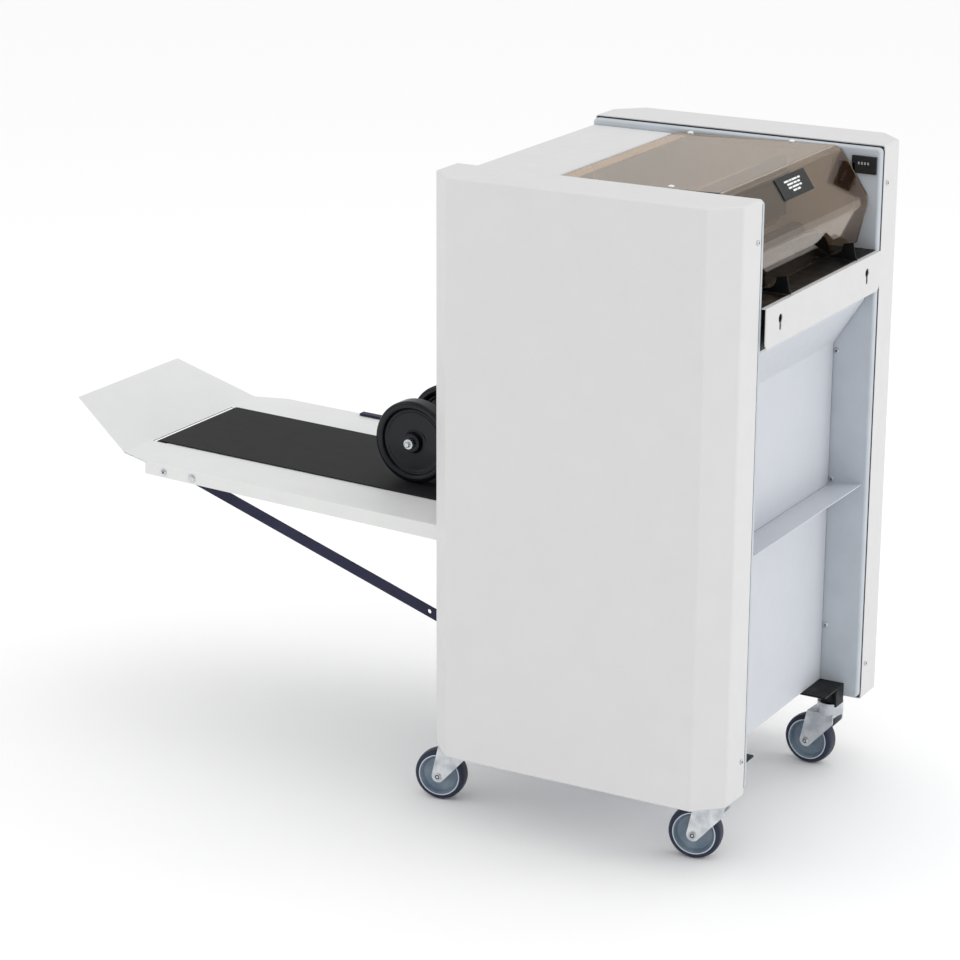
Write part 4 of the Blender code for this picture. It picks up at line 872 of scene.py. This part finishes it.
def caster_wheel(tag):
    joint = joint_of("wheel_" + tag)
    centre, axis = joint["pos_m"], joint["axis"]
    bm = bmesh.new()
    tyre = rounded([(0.0304, 0.0114), (0.0332, 0.0120), (0.0364, 0.0098), (0.0374, 0.0045),
                    (0.0374, -0.0045), (0.0364, -0.0098), (0.0332, -0.0120), (0.0304, -0.0114)],
                   0.0022)
    turned(bm, tyre, centre, axis, 72, 0)
    for face_side in (1, -1):
        body = rounded([(0.0046, face_side * 0.0128), (0.0088, face_side * 0.0128),
                        (0.0105, face_side * 0.0052), (0.0250, face_side * 0.0040),
                        (0.0274, face_side * 0.0096), (0.0291, face_side * 0.0117)], 0.0014)
        turned(bm, body, centre, axis, 72, 1)
        rim = rounded([(0.0290, face_side * 0.0116), (0.0297, face_side * 0.0123),
                       (0.0305, face_side * 0.0115)], 0.0005)
        turned(bm, rim, centre, axis, 72, 2)
    turned(bm, [(0.0046, 0.0128), (0.0046, -0.0128)], centre, axis, 24, 1)
    bmesh.ops.remove_doubles(bm, verts=bm.verts, dist=0.00003)
    piece("caster_wheel_turned_" + tag, bm, [TYRE_NAVY, WHEEL_BODY, WHEEL_RIM],
          "wheel_" + tag, ("caster_wheel_" + tag,), sharp=55)

def caster_axle(tag):
    joint = joint_of("wheel_" + tag)
    bm = bmesh.new()
    head = AXLE_HEAD_OUT
    profile = rounded([(0.0, head + 0.0024), (0.0036, head + 0.0024), (0.0050, head + 0.0008),
                       (0.0050, head), (0.0040, head), (0.0040, -head), (0.0050, -head),
                       (0.0050, -head - 0.0008), (0.0036, -head - 0.0024), (0.0, -head - 0.0024)],
                      0.0008)
    turned(bm, profile, joint["pos_m"], joint["axis"], 32)
    for end in (1, -1):
        face = Vector(joint["pos_m"]) + Vector(joint["axis"]) * end * (head + 0.0024)
        # A thin dark ring on each end of the pin is painted shade.
        ring = [(0.0033, 0.00002), (0.0026, 0.00012), (0.0018, 0.00002)]
        turned(bm, ring, face, Vector(joint["axis"]) * end, 24, 1)
    piece("caster_axle_turned_" + tag, bm, [ZINC, PAINTED_RECESS_SHADE], bodies_of["caster_axle_" + tag],
          ("caster_axle_" + tag,), sharp=50)

for tag in CASTERS:
    caster_wheel(tag)
    caster_axle(tag)
    softened("caster_fork_" + tag, FORK_ZINC_WITH_PAINTED_REFLECTION, 0.0022, 0.0004)
    softened("caster_bracket_" + tag, BLACK_COAT, 0.0008)
print(len(CASTERS), "casters")

# %% [markdown]
# ## Stacker
#
# Bed, rails and end plate are one bent sheet, so the solid is softened with the sheet's own
# bend radius. The belt, braces and bar lie on or under it.

# %% Stacker
softened("stacker_tray", TRAY_GREY, 0.0016)
softened("stacker_belt", BELT_BLACK, 0.0, 0.0002)
softened("tray_edge_strip", NAVY_COAT, 0.0008)
for where in ("near", "far"):
    softened("tray_strut_" + where, NAVY_COAT, 0.0, 0.0005)
    softened("strut_anchor_" + where, NAVY_COAT, 0.0008)
    softened("strut_bolt_" + where, ZINC, 0.0)
softened("press_bracket", NAVY_COAT, 0.0008)
softened("press_arm", NAVY_COAT, 0.0006)

SCREW_PITCH = 0.0497

def rail_screws():
    """The second screw in each rail, beside the brace's bolt."""
    bolt_low, bolt_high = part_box("strut_bolt_near")
    bolt = (bolt_low + bolt_high) / 2
    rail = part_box("stacker_tray")
    for where, side, y in (("near", -1, rail[0].y), ("far", 1, rail[1].y)):
        screws("rail_screw_" + where, [(bolt.x - SCREW_PITCH, y, bolt.z + 0.0015)], (0, side, 0),
               radius=0.0050)

rail_screws()

# %% [markdown]
# ## Press wheels
#
# Two dished wheels hold the booklets down on the belt. Their faces are polished from the mould,
# with a deep step inside the rim and a raised hub. One half of the section is drawn and then
# mirrored, so both faces match. The axle has a collar on each side that keeps the wheels apart.

# %% Press wheels and axle
WHEEL_FACE = [(0.0043, 0.0155), (0.0120, 0.0155), (0.0140, 0.0150), (0.0150, 0.0060),
              (0.0180, 0.0050), (0.0430, 0.0050), (0.0450, 0.0062), (0.0480, 0.0062),
              (0.0500, 0.0110), (0.0530, 0.0125), (0.0575, 0.0125), (0.0610, 0.0100)]

def press_wheel(where):
    centre = joint_of("press_roll_" + where)["pos_m"]
    profile = WHEEL_FACE + [(radius, -height) for radius, height in reversed(WHEEL_FACE)]
    bm = bmesh.new()
    turned(bm, rounded(profile, 0.0016, 4) + [profile[0]], centre, (0, 1, 0), 128)
    piece("press_wheel_moulded_" + where, bm, GLOSS_BLACK, "press_roll_" + where,
          ("press_wheel_" + where,), sharp=60)

def press_axle():
    low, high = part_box("press_axle")
    centre = (low + high) / 2
    half = (high.y - low.y) / 2
    profile = rounded([(0, half), (0.0030, half), (0.0040, half - 0.0010), (0.0040, 0.0725),
                       (0.0075, 0.0725), (0.0075, 0.0665), (0.0040, 0.0665), (0.0040, -0.0665),
                       (0.0075, -0.0665), (0.0075, -0.0725), (0.0040, -0.0725),
                       (0.0040, 0.0010 - half), (0.0030, -half), (0, -half)], 0.0006)
    bm = bmesh.new()
    turned(bm, profile, centre, (0, 1, 0), 40)
    piece("press_axle_turned", bm, ZINC, "press_lever", ("press_axle",), sharp=50)

press_wheel("near")
press_wheel("far")
press_axle()
print("press wheels", round(2 * WHEEL_FACE[-1][0], 3), "across")

# %% [markdown]
# ## Inside and back
#
# Rollers, blades, motor, hinge pin and the mains socket sit deep inside or behind. Their solids
# are right as they are, so each only gets its finish, and no second mesh is made.

# %% Finishes for the plain solids
def dress(node, material):
    data = frame["nodes"][node].data
    data.materials.clear()
    data.materials.append(material)

for node, material in (("hood_hinge_pin", ZINC), ("guide_pinion", ZINC), ("drive_roller", ZINC),
                       ("idler_roller", ZINC), ("blade_shaft", ZINC), ("knife_beam", GROUND_STEEL),
                       ("lower_blade", GROUND_STEEL), ("infeed_roller_upper", ROLLER_BLACK),
                       ("infeed_roller_lower", ROLLER_BLACK), ("drive_motor", MOTOR_GREY),
                       ("power_inlet", MOULDED_BLACK), ("power_rocker", MOULDED_BLACK)):
    dress(node, material)
